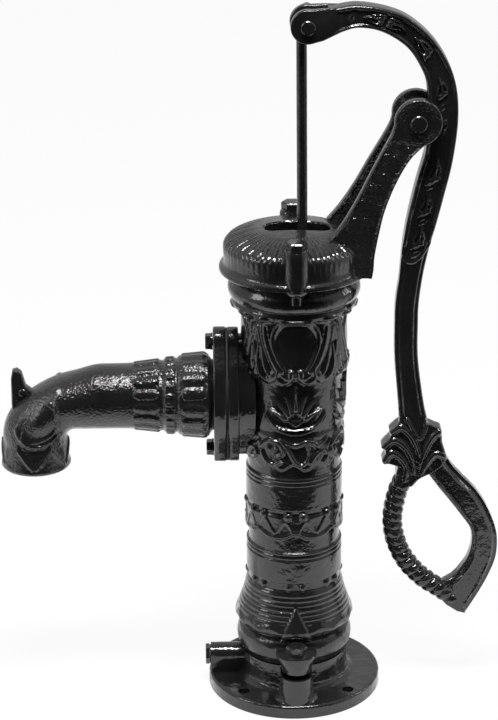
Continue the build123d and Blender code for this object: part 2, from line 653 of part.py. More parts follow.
# --- piston ------------------------------------------------------------------
cup_z = piston_z + follower_t
cage_z = cup_z + cup_t
cage_r = cup_r - cup_t - soft_gap
neck_top = cup_z + neck_h
with BuildPart() as piston_follower:
    with BuildSketch(Plane.XY.offset(piston_z)):
        Circle(cage_r)
    extrude(amount=follower_t)
    with BuildSketch(Plane.XY.offset(cup_z)):
        Circle(neck_r)
    extrude(amount=neck_h)
    with BuildSketch(Plane.XY.offset(piston_z)):
        Circle(valve_r - 4)
    extrude(amount=follower_t + neck_h, mode=Mode.SUBTRACT)
save(piston_follower, "piston_follower")

with BuildPart() as piston_cup:
    with BuildSketch(Plane.XY.offset(cup_z)):
        Circle(cup_r)
        Circle(neck_r + fit, mode=Mode.SUBTRACT)
    extrude(amount=cup_t)
    with BuildSketch(Plane.XY.offset(cup_z)):
        Circle(cup_r)
        Circle(cup_r - cup_t, mode=Mode.SUBTRACT)
    extrude(amount=cup_h)
save(piston_cup, "piston_cup")

with BuildPart() as piston_cage:
    with BuildSketch(Plane.XY.offset(cage_z)):
        Circle(cage_r)
        Circle(neck_r + fit, mode=Mode.SUBTRACT)
    extrude(amount=neck_h + valve_t - cup_t)
    with BuildSketch(Plane.XY.offset(cage_z)):
        with Locations((0, cage_r - leg_t / 2 - 2), (0, -cage_r + leg_t / 2 + 2)):
            Rectangle(2 * leg_t, leg_t)
    extrude(amount=bridge_top - cage_z)
    with BuildSketch(Plane.XY.offset(bridge_z)):
        Rectangle(bridge_slot_len + 14, bridge_slot_w + 16)
        Rectangle(2 * leg_t, 2 * cage_r - 4)
    extrude(amount=bridge_t)
    with BuildSketch(Plane.XY.offset(bridge_z)):
        SlotOverall(bridge_slot_len, bridge_slot_w)
    extrude(amount=bridge_t, mode=Mode.SUBTRACT)
save(piston_cage, "piston_cage")

with BuildPart() as piston_valve:
    with BuildSketch(Plane.XY.offset(neck_top + fit)):
        Circle(valve_r)
    extrude(amount=valve_t)
    with BuildSketch(Plane.XY.offset(neck_top + fit)):
        Circle(valve_r - 4 - play)
    extrude(amount=-follower_t)
save(piston_valve, "piston_valve")
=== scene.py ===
"""Looks of the cast-iron hand well pump: ornamented castings in gloss black paint."""
import json
import math

import bmesh
import bpy
import numpy as np
from bpy.props import FloatProperty, FloatVectorProperty, IntProperty, PointerProperty
from mathutils import Matrix, Vector


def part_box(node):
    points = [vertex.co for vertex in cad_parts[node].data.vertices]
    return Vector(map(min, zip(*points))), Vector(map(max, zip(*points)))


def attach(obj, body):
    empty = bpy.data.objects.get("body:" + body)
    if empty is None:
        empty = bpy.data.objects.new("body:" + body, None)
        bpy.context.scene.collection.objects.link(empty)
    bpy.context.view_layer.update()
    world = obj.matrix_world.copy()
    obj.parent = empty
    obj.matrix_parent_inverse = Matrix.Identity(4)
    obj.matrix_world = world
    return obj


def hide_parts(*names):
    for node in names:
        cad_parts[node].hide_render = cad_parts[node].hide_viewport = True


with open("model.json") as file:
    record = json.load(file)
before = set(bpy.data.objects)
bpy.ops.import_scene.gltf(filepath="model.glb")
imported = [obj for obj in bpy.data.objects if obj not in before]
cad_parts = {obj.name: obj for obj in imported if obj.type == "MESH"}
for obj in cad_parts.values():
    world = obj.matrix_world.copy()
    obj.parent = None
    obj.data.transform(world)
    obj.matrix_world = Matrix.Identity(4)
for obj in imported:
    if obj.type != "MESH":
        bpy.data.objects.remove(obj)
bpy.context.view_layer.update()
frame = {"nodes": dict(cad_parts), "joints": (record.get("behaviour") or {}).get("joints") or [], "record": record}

bl_info = {
    "name": "Hand Well Pump",
    "version": (1, 0, 0),
    "blender": (4, 5, 0),
    "location": "3D View > Sidebar > Well Pump",
    "description": "Ornamented castings, rod and bolts of a hand well pump, with a plain studio",
    "category": "Add Mesh",
}

MM = 0.001


def node_box(node):
    """Lowest and highest corner of a node in millimetres."""
    low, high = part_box(node)
    return low / MM, high / MM


barrel_low, barrel_high = node_box("barrel")
lid_low, lid_high = node_box("lid_bracket")
base_low, base_high = node_box("base_foot")
spout_low, spout_high = node_box("spout")
flange_low, flange_high = node_box("spout_gasket")
joints = {joint["name"]: joint for joint in frame["joints"]}
pivot = Vector(joints["handle_swing"]["pos_m"]) / MM
rod_pin = Vector(joints["rod_swing"]["pos_m"]) / MM

BARREL_Z = barrel_low.z
BARREL_TOP = barrel_high.z
BARREL_R = 44.5
BORE_R = 37.5
SPOUT_Z = (flange_low.z + flange_high.z) / 2
FLANGE_HALF = 67.0
SPOUT_REACH = 241.0
SPOUT_BEND = 38.0
LID_BOLT_Y = 58.1
HANDLE_T = 20.5
HANDLE_GAP = 22.6
ARM_T = 10.2
TIP_R = 15.4
GRIP_T = 17.0


# --- settings ----------------------------------------------------------------
class PumpFinish(bpy.types.PropertyGroup):
    """Colours and gloss of the pump."""
    paint: FloatVectorProperty(name="Paint", description="Black paint of the castings", subtype="COLOR",
                               size=4, min=0, max=1, default=(0.011, 0.011, 0.0115, 1))
    paint_roughness: FloatProperty(name="Paint roughness", description="Roughness of the gloss paint",
                                   default=0.13, min=0, max=1)
    steel: FloatVectorProperty(name="Steel", description="Plain steel of the hidden rod end", subtype="COLOR",
                               size=4, min=0, max=1, default=(0.42, 0.42, 0.41, 1))
    leather: FloatVectorProperty(name="Leather", description="Oiled leather of cup and valve",
                                 subtype="COLOR", size=4, min=0, max=1, default=(0.05, 0.032, 0.02, 1))


class PumpSizes(bpy.types.PropertyGroup):
    """Sizes of the cast ornament, in millimetres."""
    barrel_columns: IntProperty(name="Barrel columns", description="Steps round the barrel",
                                default=384, min=48, max=512)
    motif_height: FloatProperty(name="Motif height", description="Relief of leaves, shell and beads",
                                default=3.5, min=0, max=5)
    rope_turns: FloatProperty(name="Rope turns", description="Twists along the grip's rope branch",
                              default=9.5, min=1, max=30)


class PumpStudio(bpy.types.PropertyGroup):
    """Camera, floor and lamps."""
    lens: FloatProperty(name="Lens", description="Focal length on a 36 mm sensor", default=126.0, min=10)
    top_power: FloatProperty(name="Top lamp", description="Power of the overhead softbox in watts",
                             default=44.0, min=0)
    side_power: FloatProperty(name="Side lamp", description="Power of the side softbox in watts",
                              default=9.0, min=0)


# --- materials ---------------------------------------------------------------
def new_material(name, colour, roughness, metallic=0.0, coat=0.0):
    """A Principled material and its node tree, shader and object coordinates."""
    material = bpy.data.materials.new(name)
    material.use_nodes = True
    tree = material.node_tree
    shader = tree.nodes["Principled BSDF"]
    shader.inputs["Base Color"].default_value = colour
    shader.inputs["Roughness"].default_value = roughness
    shader.inputs["Metallic"].default_value = metallic
    shader.inputs["Coat Weight"].default_value = coat
    shader.inputs["Coat Roughness"].default_value = 0.06
    coords = tree.nodes.new("ShaderNodeTexCoord")
    return material, tree, shader, coords


def add_noise(tree, coords, scale, detail, roughness=0.55):
    """Noise texture on object coordinates."""
    noise = tree.nodes.new("ShaderNodeTexNoise")
    noise.inputs["Scale"].default_value = scale
    noise.inputs["Detail"].default_value = detail
    noise.inputs["Roughness"].default_value = roughness
    tree.links.new(coords.outputs["Object"], noise.inputs["Vector"])
    return noise


def add_bump(tree, shader, height, distance, strength=1.0, base=None):
    """Bump from a height output into the shader's normal."""
    bump = tree.nodes.new("ShaderNodeBump")
    bump.inputs["Distance"].default_value = distance
    bump.inputs["Strength"].default_value = strength
    tree.links.new(height, bump.inputs["Height"])
    if base is not None:
        tree.links.new(base.outputs["Normal"], bump.inputs["Normal"])
    tree.links.new(bump.outputs["Normal"], shader.inputs["Normal"])
    tree.links.new(bump.outputs["Normal"], shader.inputs["Coat Normal"])
    return bump


def add_ramp(tree, value, socket, low, high, stops=(0.3, 0.7)):
    """Map a noise value between two colours."""
    ramp = tree.nodes.new("ShaderNodeValToRGB")
    ramp.color_ramp.elements[0].position = stops[0]
    ramp.color_ramp.elements[0].color = low
    ramp.color_ramp.elements[1].position = stops[1]
    ramp.color_ramp.elements[1].color = high
    tree.links.new(value, ramp.inputs["Fac"])
    tree.links.new(ramp.outputs["Color"], socket)
    return ramp


def black_paint(name="gloss_black_paint", sand=0.00016, roughness=None, coat=0.5):
    """Gloss paint over sand-cast iron: soft lumps, fine sand grain, faint colour shift."""
    finish = bpy.context.scene.pump_finish
    rough = finish.paint_roughness if roughness is None else roughness
    paint = tuple(finish.paint)
    material, tree, shader, coords = new_material(name, paint, rough, coat=coat)
    lumps = add_noise(tree, coords, 75, 3)
    grain = add_noise(tree, coords, 480, 2, 0.5)
    soft = add_bump(tree, shader, lumps.outputs["Fac"], 0.0016, 0.7)
    add_bump(tree, shader, grain.outputs["Fac"], sand, 0.9, soft)
    tone = add_noise(tree, coords, 26, 2)
    add_ramp(tree, tone.outputs["Fac"], shader.inputs["Base Color"],
             tuple(0.75 * c for c in paint[:3]) + (1,), tuple(1.5 * c for c in paint[:3]) + (1,))
    add_ramp(tree, grain.outputs["Fac"], shader.inputs["Roughness"],
             (rough * 0.75,) * 3 + (1,), (rough * 1.45,) * 3 + (1,))
    return material


def metal(name, colour, roughness, scale=300):
    """Plain metal with fine turning marks and uneven dullness."""
    material, tree, shader, coords = new_material(name, colour, roughness, metallic=1.0)
    marks = add_noise(tree, coords, scale, 4)
    add_ramp(tree, marks.outputs["Fac"], shader.inputs["Roughness"],
             (roughness * 0.8,) * 3 + (1,), (roughness * 1.5,) * 3 + (1,))
    add_bump(tree, shader, marks.outputs["Fac"], 0.0001, 0.6)
    return material


def leather(name="oiled_leather"):
    """Oiled leather with pores."""
    colour = tuple(bpy.context.scene.pump_finish.leather)
    material, tree, shader, coords = new_material(name, colour, 0.55)
    pores = add_noise(tree, coords, 900, 5)
    add_ramp(tree, pores.outputs["Fac"], shader.inputs["Base Color"],
             tuple(0.6 * c for c in colour[:3]) + (1,), tuple(1.4 * c for c in colour[:3]) + (1,))
    add_bump(tree, shader, pores.outputs["Fac"], 0.0003)
    return material


def rubber(name="gasket_rubber"):
    """Matt black rubber sheet."""
    material, tree, shader, coords = new_material(name, (0.016, 0.016, 0.016, 1), 0.6)
    grain = add_noise(tree, coords, 1400, 3)
    add_bump(tree, shader, grain.outputs["Fac"], 0.0001)
    return material


def shared(name, maker):
    """A material by name, made the first time it is asked for."""
    return bpy.data.materials.get(name) or maker()


# --- mesh helpers ------------------------------------------------------------
def finish_mesh(bm, name, material, body, replaced=(), smooth=math.radians(38)):
    """Turn a bmesh in millimetres into a piece that rides on a body."""
    bmesh.ops.remove_doubles(bm, verts=bm.verts, dist=0.001)
    bmesh.ops.recalc_face_normals(bm, faces=bm.faces)
    bmesh.ops.scale(bm, vec=(MM, MM, MM), verts=bm.verts)
    mesh = bpy.data.meshes.new(name)
    bm.to_mesh(mesh)
    bm.free()
    mesh.materials.append(material)
    mesh.shade_smooth()
    mesh.set_sharp_from_angle(angle=smooth)
    piece = bpy.data.objects.new(name, mesh)
    bpy.context.scene.collection.objects.link(piece)
    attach(piece, body)
    if replaced:
        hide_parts(*replaced)
    return piece


def lathe(bm, profile, columns, axis=(0, 0, 1), centre=(0, 0, 0), closed=False):
    """Spin a profile of (radius, height) points about an axis through centre."""
    axis = Vector(axis)
    turn = axis.to_track_quat("Z", "Y").to_matrix()
    verts = [bm.verts.new(turn @ Vector((r, 0, h)) + Vector(centre)) for r, h in profile]
    edges = [bm.edges.new(pair) for pair in zip(verts, verts[1:])]
    if closed:
        edges.append(bm.edges.new((verts[-1], verts[0])))
    bmesh.ops.spin(bm, geom=verts + edges, cent=centre, axis=axis, angle=2 * math.pi, steps=columns,
                   use_merge=True, use_duplicate=False)
    bmesh.ops.remove_doubles(bm, verts=bm.verts, dist=0.0005)
    bmesh.ops.recalc_face_normals(bm, faces=bm.faces)


def dense(points, step):
    """Points along a polyline, about one step apart; a step per stretch may be given."""
    steps = step if isinstance(step, (list, tuple)) else [step] * (len(points) - 1)
    result = [points[0]]
    for a, b, s in zip(points, points[1:], steps):
        count = max(1, round(math.dist(a, b) / s))
        result += [tuple(p + (q - p) * i / count for p, q in zip(a, b)) for i in range(1, count + 1)]
    return result


def smooth_curve(points, per_span=8, closed=False):
    """Catmull-Rom curve through a few chosen points."""
    pts = [Vector(p) for p in points]
    spans = len(pts) if closed else len(pts) - 1
    get = (lambda i: pts[i % len(pts)]) if closed else (lambda i: pts[max(0, min(i, len(pts) - 1))])
    result = []
    for i in range(spans):
        a, b, c, d = get(i - 1), get(i), get(i + 1), get(i + 2)
        for k in range(per_span):
            t = k / per_span
            result.append(0.5 * (2 * b + (c - a) * t + (2 * a - 5 * b + 4 * c - d) * t ** 2
                                 + (3 * b - a - 3 * c + d) * t ** 3))
    if not closed:
        result.append(pts[-1])
    return [tuple(p) for p in result]


def move_verts(bm, shape):
    """Replace every vertex by shape(x, y, z) -> (x, y, z), worked out on whole arrays."""
    verts = list(bm.verts)
    xyz = np.array([v.co[:] for v in verts])
    moved = np.stack(shape(*xyz.T), axis=1)
    for v, co in zip(verts, moved):
        v.co = co


# --- relief ------------------------------------------------------------------
def rib(distance, width):
    """Rounded ridge: 1 on its line, 0 beyond its half width."""
    return np.sqrt(np.clip(1 - (distance / width) ** 2, 0, 1))


def soft(distance, width):
    """Soft bump: 1 at the middle, smoothly to 0 at its half width."""
    return np.where(np.abs(distance) < width, 0.5 + 0.5 * np.cos(np.pi * np.clip(distance / width, -1, 1)), 0)


def ramp_up(value, low, high):
    """0 below low, 1 above high, smooth between."""
    t = np.clip((value - low) / (high - low), 0, 1)
    return t * t * (3 - 2 * t)


def stroke(u, z, points, width, height, taper=0.35, per_span=6):
    """Raised stroke along a smooth curve in the developed surface, tapering to its end."""
    path = np.array(smooth_curve(points, per_span))[:, :2]
    best = np.full(u.shape, 1e9)
    along = np.zeros(u.shape)
    total = len(path) - 1
    for i, (a, b) in enumerate(zip(path, path[1:])):
        d = b - a
        t = np.clip(((u - a[0]) * d[0] + (z - a[1]) * d[1]) / max(d @ d, 1e-9), 0, 1)
        gap = np.hypot(u - a[0] - t * d[0], z - a[1] - t * d[1])
        nearer = gap < best
        best = np.where(nearer, gap, best)
        along = np.where(nearer, (i + t) / total, along)
    half = width * (1 - (1 - taper) * along)
    return height * np.clip(1 - (best / half) ** 2, 0, 1) ** 0.85


def fold(angle, count, mirrored=True):
    """Angle in degrees from the middle of the nearest of count equal repeats."""
    period = 360 / count
    local = (angle + period / 2) % period - period / 2
    return np.abs(local) if mirrored else local


def drape_relief(phi, z, h):
    """Heart panel with leaves whose curled tips hang as a scalloped curtain."""
    u = np.radians(phi) * 46
    top, low = BARREL_TOP - 33, BARREL_TOP - 95
    result = np.zeros(u.shape)
    heart = stroke(u, z, [(0, top - 1), (11, top - 3), (18.5, top - 12), (20.5, top - 24), (15, top - 40),
                          (8, top - 54)], 4.2, 0.85 * h, 0.6)
    leaf = stroke(u, z, [(27, top - 3), (26.5, top - 20), (20.5, top - 38), (13, top - 52), (7.5, top - 57)],
                  8.0, h, 0.45)
    vein = stroke(u, z, [(26, top - 8), (23.5, top - 24), (17, top - 41), (11, top - 50)], 1.2, 0.55 * h, 0.5)
    curl = stroke(u, z, [(4.2, top - 51), (5.5, top - 59), (11.5, top - 61.5), (16.5, top - 57), (15, top - 50.5),
                         (11.2, top - 51)], 3.8, 1.15 * h, 0.7)
    side = stroke(u, z, [(35.5, top - 12), (31, top - 30), (27, top - 50), (21, top - 57.5)], 6.0, 0.8 * h, 0.5)
    lobe = stroke(u, z, [(20, top - 55), (25, top - 61), (31.5, top - 58), (35.5, top - 46), (33.5, top - 26)],
                  4.8, 1.0 * h, 0.6)
    panel = 1.2 * soft(u, 19) * ramp_up(z, top - 56, top - 34) * (1 - ramp_up(z, top - 10, top - 1))
    field = 0.45 * h * ramp_up(z, low - 2 + 3 * np.cos(np.radians(phi * 8)), low + 6) \
        * (1 - ramp_up(z, top - 3, top + 3))
    for part in (heart, leaf, vein * 0 + curl, side, lobe):
        result = np.maximum(result, part)
    groove = 0.35 * h * rib(stroke(u, z, [(26, top - 8), (23.5, top - 24), (17, top - 41), (11, top - 50)],
                                   1.1, 1.0, 0.8) - 1, 1)
    return np.maximum(result, panel) + field - groove * (vein > 0)


def palmette_relief(phi, z, h):
    """Seven slender leaves that fan up from one point, on two curved collars."""
    u = np.radians(phi) * 45.5
    root = BARREL_TOP - 139
    result = np.zeros(u.shape)
    for tilt, reach in ((0, 41), (17, 33), (36, 30.5), (57, 29)):
        for side in ((1,) if tilt == 0 else (-1, 1)):
            a = math.radians(tilt)
            path = [(0, root + 1), (side * 0.45 * reach * math.sin(0.8 * a), root + 0.45 * reach * math.cos(0.8 * a)),
                    (side * reach * math.sin(a), root + reach * math.cos(a) + 0.04 * tilt)]
            spine = stroke(u, z, path, 1.4, 1.0, 0.2)
            leaf = stroke(u, z, path[1:], 3.7, 1.15, 0.12)
            result = np.maximum(result, np.maximum(leaf, 0.7 * spine))
    for drop, rise, height in ((3, 12, 0.8), (7.5, 7.5, 0.7)):
        collar = stroke(u, z, [(-29, root + rise), (-18, root + 1.5 - drop / 2), (0, root - drop),
                               (18, root + 1.5 - drop / 2), (29, root + rise)], 1.7, height, 1)
        result = np.maximum(result, collar)
    return h * result


def scroll_relief(phi, z, h):
    """Interlaced leaf scrolls between the shell and the upper plain band."""
    u = np.radians(phi) * 44.5
    base = BARREL_TOP - 181
    curves = (
        ([(-33, base + 20), (-24, base + 27), (-14, base + 24), (-12, base + 15), (-20, base + 11)], 3.4, 1.0, 0.4),
        ([(-12, base + 26), (-6, base + 18), (-1, base + 8), (5, base + 4), (10.5, base + 8), (12, base + 18),
          (9, base + 27)], 1.9, 0.9, 0.9),
        ([(-14, base + 28), (0, base + 24), (10, base + 27), (22, base + 23), (30, base + 28)], 2.4, 0.8, 0.8),
        ([(14, base + 6), (20, base + 14), (27, base + 16), (31, base + 10), (27, base + 5)], 3.0, 1.0, 0.4),
        ([(-34, base + 14), (-28, base + 6), (-20, base + 3), (-13, base + 7)], 3.2, 0.95, 0.4),
        ([(-26, base + 20), (-22, base + 18), (-19, base + 20)], 2.6, 0.9, 0.6),
        ([(16, base + 26), (22, base + 20), (30, base + 20), (35, base + 26)], 2.6, 0.85, 0.5),
    )
    result = np.zeros(u.shape)
    for points, width, height, taper in curves:
        result = np.maximum(result, stroke(u, z, points, width, height * h, taper))
    hem = base - 1 + 3.0 * np.cos(np.radians(phi * 12 + 30))
    field = 0.5 * h * ramp_up(z, hem, hem + 3) * (1 - ramp_up(z, base + 30, base + 36))
    return np.maximum(result, 0) * 0.8 + field


def festoon_relief(angle, z, low, high, h, beads_z):
    """Hanging lobes with bead pairs above them, seven times round."""
    phi = fold(angle, 7)
    u = np.radians(phi) * 44
    span = np.radians(360 / 14) * 44
    beads = 1.25 * h * rib(np.hypot(u - 7.3, (z - beads_z) * 0.95), 4.3)
    along = u / span
    beads = beads * (z > beads_z - 6)
    hem = low + 12 + 7 * (1 - np.sin(0.5 * np.pi * np.clip(along * 1.15, 0, 1)))
    lobe = 0.55 * h * ramp_up(z - hem, -0.5, 3.0) * (1 - ramp_up(z, high - 7, high - 3))
    swell = 0.5 * h * soft(z - hem - 3.2, 4.2)
    peak = high - 16 - 6 * np.cos(2 * np.pi * along)
    fold_line = 0.32 * h * soft(z - peak, 4.0)
    return np.maximum(beads, lobe + swell + fold_line)


# --- barrel ------------------------------------------------------------------
def barrel_profile_upper(split):
    """Outer profile of the upper barrel, from the split up to the lid."""
    r, top = BARREL_R, BARREL_TOP
    outer = smooth_curve([(r + 0.6, split), (r + 0.6, top - 201), (r + 0.4, top - 198.6)], 4)
    outer = [(r + 0.6, split), (r + 0.6, top - 201.5), (r - 0.4, top - 200.6), (r + 0.5, top - 199.3),
             (r + 0.5, top - 197.6), (r - 0.4, top - 196.4), (r + 0.6, top - 195), (r + 0.6, top - 193.2),
             (r - 1.2, top - 191)]
    body = smooth_curve([(r - 1.2, top - 191), (r - 1.6, top - 175), (r - 1.2, top - 155), (r + 0.2, top - 139),
                         (r + 0.2, top - 115), (r + 0.7, top - 95), (r + 1.9, top - 76), (r + 1.6, top - 55),
                         (r + 1.6, top - 40)], 10)
    neck = smooth_curve([(r + 1.6, top - 40), (r + 2.6, top - 36.5), (r + 6.5, top - 34), (r + 10.4, top - 32.8)], 7)
    ring = smooth_curve([(r + 12.2, top - 31.4), (r + 12.9, top - 28.8), (r + 12.0, top - 26.4),
                         (r + 11.8, top - 24.6), (r + 14.4, top - 22.4), (r + 16.1, top - 18),
                         (r + 15.8, top - 13.2), (r + 13.4, top - 9), (r + 10.8, top - 5.5)], 5)
    rows = [0.9] * (len(outer) - 1)
    points = dense(outer, rows)[:-1] + dense(body, 0.85)[:-1] + dense(neck, 0.85) + ring
    return points + [(r + 10.4, top)]


class PUMP_OT_barrel(bpy.types.Operator):
    """Make the ornamented pump barrel in an upper and a lower piece"""
    bl_idname = "pump.barrel"
    bl_label = "Barrel"

    def execute(self, context):
        sizes = context.scene.pump_sizes
        h, columns = sizes.motif_height, sizes.barrel_columns
        paint = shared("gloss_black_paint", black_paint)
        split = BARREL_TOP - 208
        upper = bmesh.new()
        profile = barrel_profile_upper(split)
        bore = [(BORE_R + 2.5, BARREL_TOP), (BORE_R + 2.5, BARREL_Z + 225), (BORE_R, BARREL_Z + 224),
                (BORE_R, split)]
        lathe(upper, profile + bore, columns, closed=True)

        def carve(x, y, z):
            r = np.hypot(x, y)
            angle = np.degrees(np.arctan2(x, -y))
            outside = r > BORE_R + 4
            drape = (z > BARREL_TOP - 100) & (z < BARREL_TOP - 28) & outside
            shell = (z > BARREL_TOP - 150) & (z < BARREL_TOP - 94) & outside
            scroll = (z > BARREL_TOP - 190) & (z < BARREL_TOP - 142) & outside
            lift = np.zeros(r.shape)
            quarter = fold(angle, 4, mirrored=False)
            lift[drape] = drape_relief(np.abs(quarter[drape]), z[drape], h)
            lift[shell] = np.maximum(lift[shell], palmette_relief(quarter[shell], z[shell], h))
            lift[scroll] = np.maximum(lift[scroll], scroll_relief(quarter[scroll], z[scroll], h))
            grow = 1 + lift / np.maximum(r, 1)
            return x * grow, y * grow, z
        move_verts(upper, carve)
        finish_mesh(upper, "barrel_upper", paint, "pump_body", ("barrel",), smooth=math.radians(60))

        lower = bmesh.new()
        r, base = BARREL_R, BARREL_Z
        foot = smooth_curve([(r + 7.2, base), (r + 9.4, base + 6), (r + 10, base + 14), (r + 8.0, base + 20.5),
                             (r + 3.6, base + 24.6)], 8)
        skirt = smooth_curve([(r + 3.6, base + 24.6), (r + 7.2, base + 27), (r + 10.2, base + 31.5),
                              (r + 10.0, base + 37), (r + 7.0, base + 46), (r + 3.6, base + 56),
                              (r + 1.6, base + 64), (r + 0.2, base + 71)], 9)
        bands = [(r - 1.2, base + 73), (r - 1.2, base + 80), (r + 0.6, base + 81.5), (r + 0.6, base + 103.5),
                 (r - 0.5, base + 104.6), (r + 0.4, base + 105.8), (r + 0.4, base + 107.6), (r - 0.5, base + 109),
                 (r + 0.5, base + 110.2), (r + 0.5, base + 111.6), (r - 1.6, base + 113),
                 (r - 1.9, base + 128), (r - 1.6, base + 150), (r - 1.2, base + 154.5), (r + 0.6, base + 156),
                 (r + 0.6, split)]
        rows = dense(foot, 1.2)[:-1] + dense(skirt, 0.75)[:-1] + dense([skirt[-1]] + bands, 0.9)
        lathe(lower, rows + [(BORE_R, split), (BORE_R, base)], columns, closed=True)

        def carve_foot(x, y, z):
            r = np.hypot(x, y)
            angle = np.degrees(np.arctan2(x, -y))
            outside = r > BORE_R + 4
            s = z - base
            lift = np.zeros(r.shape)
            ribs = 0.75 * rib((s - 44) % 4.4 - 2.2, 1.9) * ramp_up(s, 40, 44) * (1 - ramp_up(s, 69, 71))
            phi = fold(angle, 7)
            u = np.radians(phi) * 53
            scallop = 1.2 * soft(s - 35 - 2.2 * np.cos(np.radians(angle * 14)), 7)
            beads = 3.2 * rib(np.hypot(u - 8.0, s - 76.5), 4.4)
            front = np.radians(fold(angle, 2)) * 53
            leaf_half = 15.5 * np.clip(1 - (s - 24) / 34, 0, 1) ** 0.8
            leaf = 2.6 * rib(front, np.maximum(leaf_half, 0.01)) * ramp_up(s, 22, 25)
            leaf = (leaf - 0.7 * rib(front, 1.0) * (leaf > 0)) * (s < 57)
            lift += np.where(leaf > 0.15, leaf + 0.4, ribs + scallop)
            lift = np.maximum(lift, beads)
            fest = (s > 112) & (s < 156)
            lift[fest] = festoon_relief(angle[fest], z[fest], base + 113, base + 155, h, base + 149.5)
            lift *= outside
            grow = 1 + lift / np.maximum(r, 1)
            return x * grow, y * grow, z
        move_verts(lower, carve_foot)
        finish_mesh(lower, "barrel_lower", paint, "pump_body", smooth=math.radians(60))
        return {"FINISHED"}


# --- shapes shared by the castings -------------------------------------------
def wrap(bm, rows, columns, place, caps=True):
    """Grid of rows and columns bent into a closed tube by place(row, column) -> x, y, z."""
    made = bmesh.ops.create_grid(bm, x_segments=rows, y_segments=columns, size=1.0)["verts"]
    spot = np.array([v.co[:2] for v in made]) * 0.5 + 0.5
    row = np.rint(spot[:, 0] * rows).astype(int)
    column = np.rint(spot[:, 1] * columns).astype(int)
    for v, co in zip(made, np.stack(place(row, column), axis=1)):
        v.co = co
    bmesh.ops.remove_doubles(bm, verts=made, dist=0.0008)
    if caps:
        edges = [e for e in bm.edges if e.is_boundary]
        bmesh.ops.holes_fill(bm, edges=edges, sides=0)


def even(points, count):
    """The curve resampled to a number of evenly spaced points."""
    pts = np.array(points)[:, :2]
    run = np.concatenate([[0], np.cumsum(np.hypot(*np.diff(pts, axis=0).T))])
    at = np.linspace(0, run[-1], count)
    return np.stack([np.interp(at, run, pts[:, 0]), np.interp(at, run, pts[:, 1])], axis=1)


def section(column, columns, width, half, corner):
    """Round-cornered band section: across, outward and a flag for its two faces."""
    v = column / columns % 1.0
    first = v < 0.5
    part = (v % 0.5) * 2
    across = np.clip(part / 0.88, 0, 1) * 2 - 1
    rim = np.clip((part - 0.88) / 0.12, 0, 1)
    sign = np.where(first, 1.0, -1.0)
    x = sign * across * width
    over = np.clip((np.abs(x) - (width - corner)) / corner, 0, 1)
    out = half - corner * (1 - np.sqrt(1 - over ** 2))
    out = np.where(rim > 0, (half - corner) * (1 - 2 * rim), out)
    return x, sign * out, (rim == 0) * sign


def band(bm, inner, outer, half, relief=None, corner=2.0, columns=56, middle=None):
    """Cast band between two edge curves in the XZ plane; relief(along, across, width) on both faces."""
    inner, outer = np.array(inner), np.array(outer)
    rows = len(inner) - 1
    mid = (inner + outer) / 2
    along = np.concatenate([[0], np.cumsum(np.hypot(*np.diff(mid, axis=0).T))])

    def place(row, column):
        a, b = inner[row], outer[row]
        width = np.hypot(*(b - a).T) / 2
        x, out, face = section(column, columns, width, half, np.minimum(corner, width * 0.6))
        if relief is not None:
            out = out + face * relief(along[row], x, width)
        t = (x / width + 1) / 2
        spot = a + (b - a) * t[:, None]
        centre = 0 if middle is None else middle(spot[:, 1])
        return spot[:, 0], centre - out, spot[:, 1]
    wrap(bm, rows, columns, place)


def tube(bm, path, stations, columns, grow):
    """Tube along a path in the XZ plane; stations are (distance, radius), grow(distance, angle) is relief."""
    path = np.array(path)
    run = np.concatenate([[0], np.cumsum(np.hypot(*np.diff(path, axis=0).T))])
    slope = np.gradient(path, run, axis=0)
    slope /= np.hypot(*slope.T)[:, None]
    table = np.array(stations)

    def place(row, column):
        s, r = table[row].T
        angle = 2 * np.pi * (column % columns) / columns
        x, z = np.interp(s, run, path[:, 0]), np.interp(s, run, path[:, 1])
        dx, dz = np.interp(s, run, slope[:, 0]), np.interp(s, run, slope[:, 1])
        r = r + grow(s, angle, r)
        return x + dz * r * np.cos(angle), r * np.sin(angle), z - dx * r * np.cos(angle)
    wrap(bm, len(table) - 1, columns, place, caps=False)
    return run[-1]


def plate(bm, outline, low, high, bevel=1.5, plane="XZ"):
    """Flat plate with rounded edges: outline in its plane, from low to high across it."""
    turn = {"XZ": lambda a, b, c: (a, c, b), "YZ": lambda a, b, c: (c, a, b), "XY": lambda a, b, c: (a, b, c)}[plane]
    verts = [bm.verts.new(turn(a, b, low)) for a, b in outline]
    face = bm.faces.new(verts)
    made = bmesh.ops.extrude_face_region(bm, geom=[face])["geom"]
    moved = [item for item in made if isinstance(item, bmesh.types.BMVert)]
    bmesh.ops.translate(bm, vec=turn(0, 0, high - low), verts=moved)
    ends = set(verts) | set(moved)
    rim = [e for e in bm.edges if e.verts[0] in ends and e.verts[1] in ends
           and (e.verts[0] in moved) == (e.verts[1] in moved)]
    bmesh.ops.bevel(bm, geom=rim, offset=bevel, segments=3, profile=0.5, affect="EDGES", material=-1)


def arc(centre, radius, start, end, count=24):
    """Points on a circle from start to end degrees."""
    return [(centre[0] + radius * math.cos(math.radians(a)), centre[1] + radius * math.sin(math.radians(a)))
            for a in np.linspace(start, end, count)]


def oval_outline(scale=1.0):
    """Outline of the oval spout flange about its middle: across, up."""
    half = FLANGE_HALF
    side_curve = smooth_curve([(14.0, half - 12), (30, 33), (40, 10), (40, -10), (30, -33), (14.0, 12 - half)], 6)
    right = [(a, b) for a, b in side_curve]
    top = arc((0, half - 15), 14.5, 168, 12, 14)
    low = arc((0, 15 - half), 14.5, -12, -168, 14)
    return [(scale * a, scale * b) for a, b in top + right[1:-1] + low + [(-a, b) for a, b in right[1:-1]][::-1]]


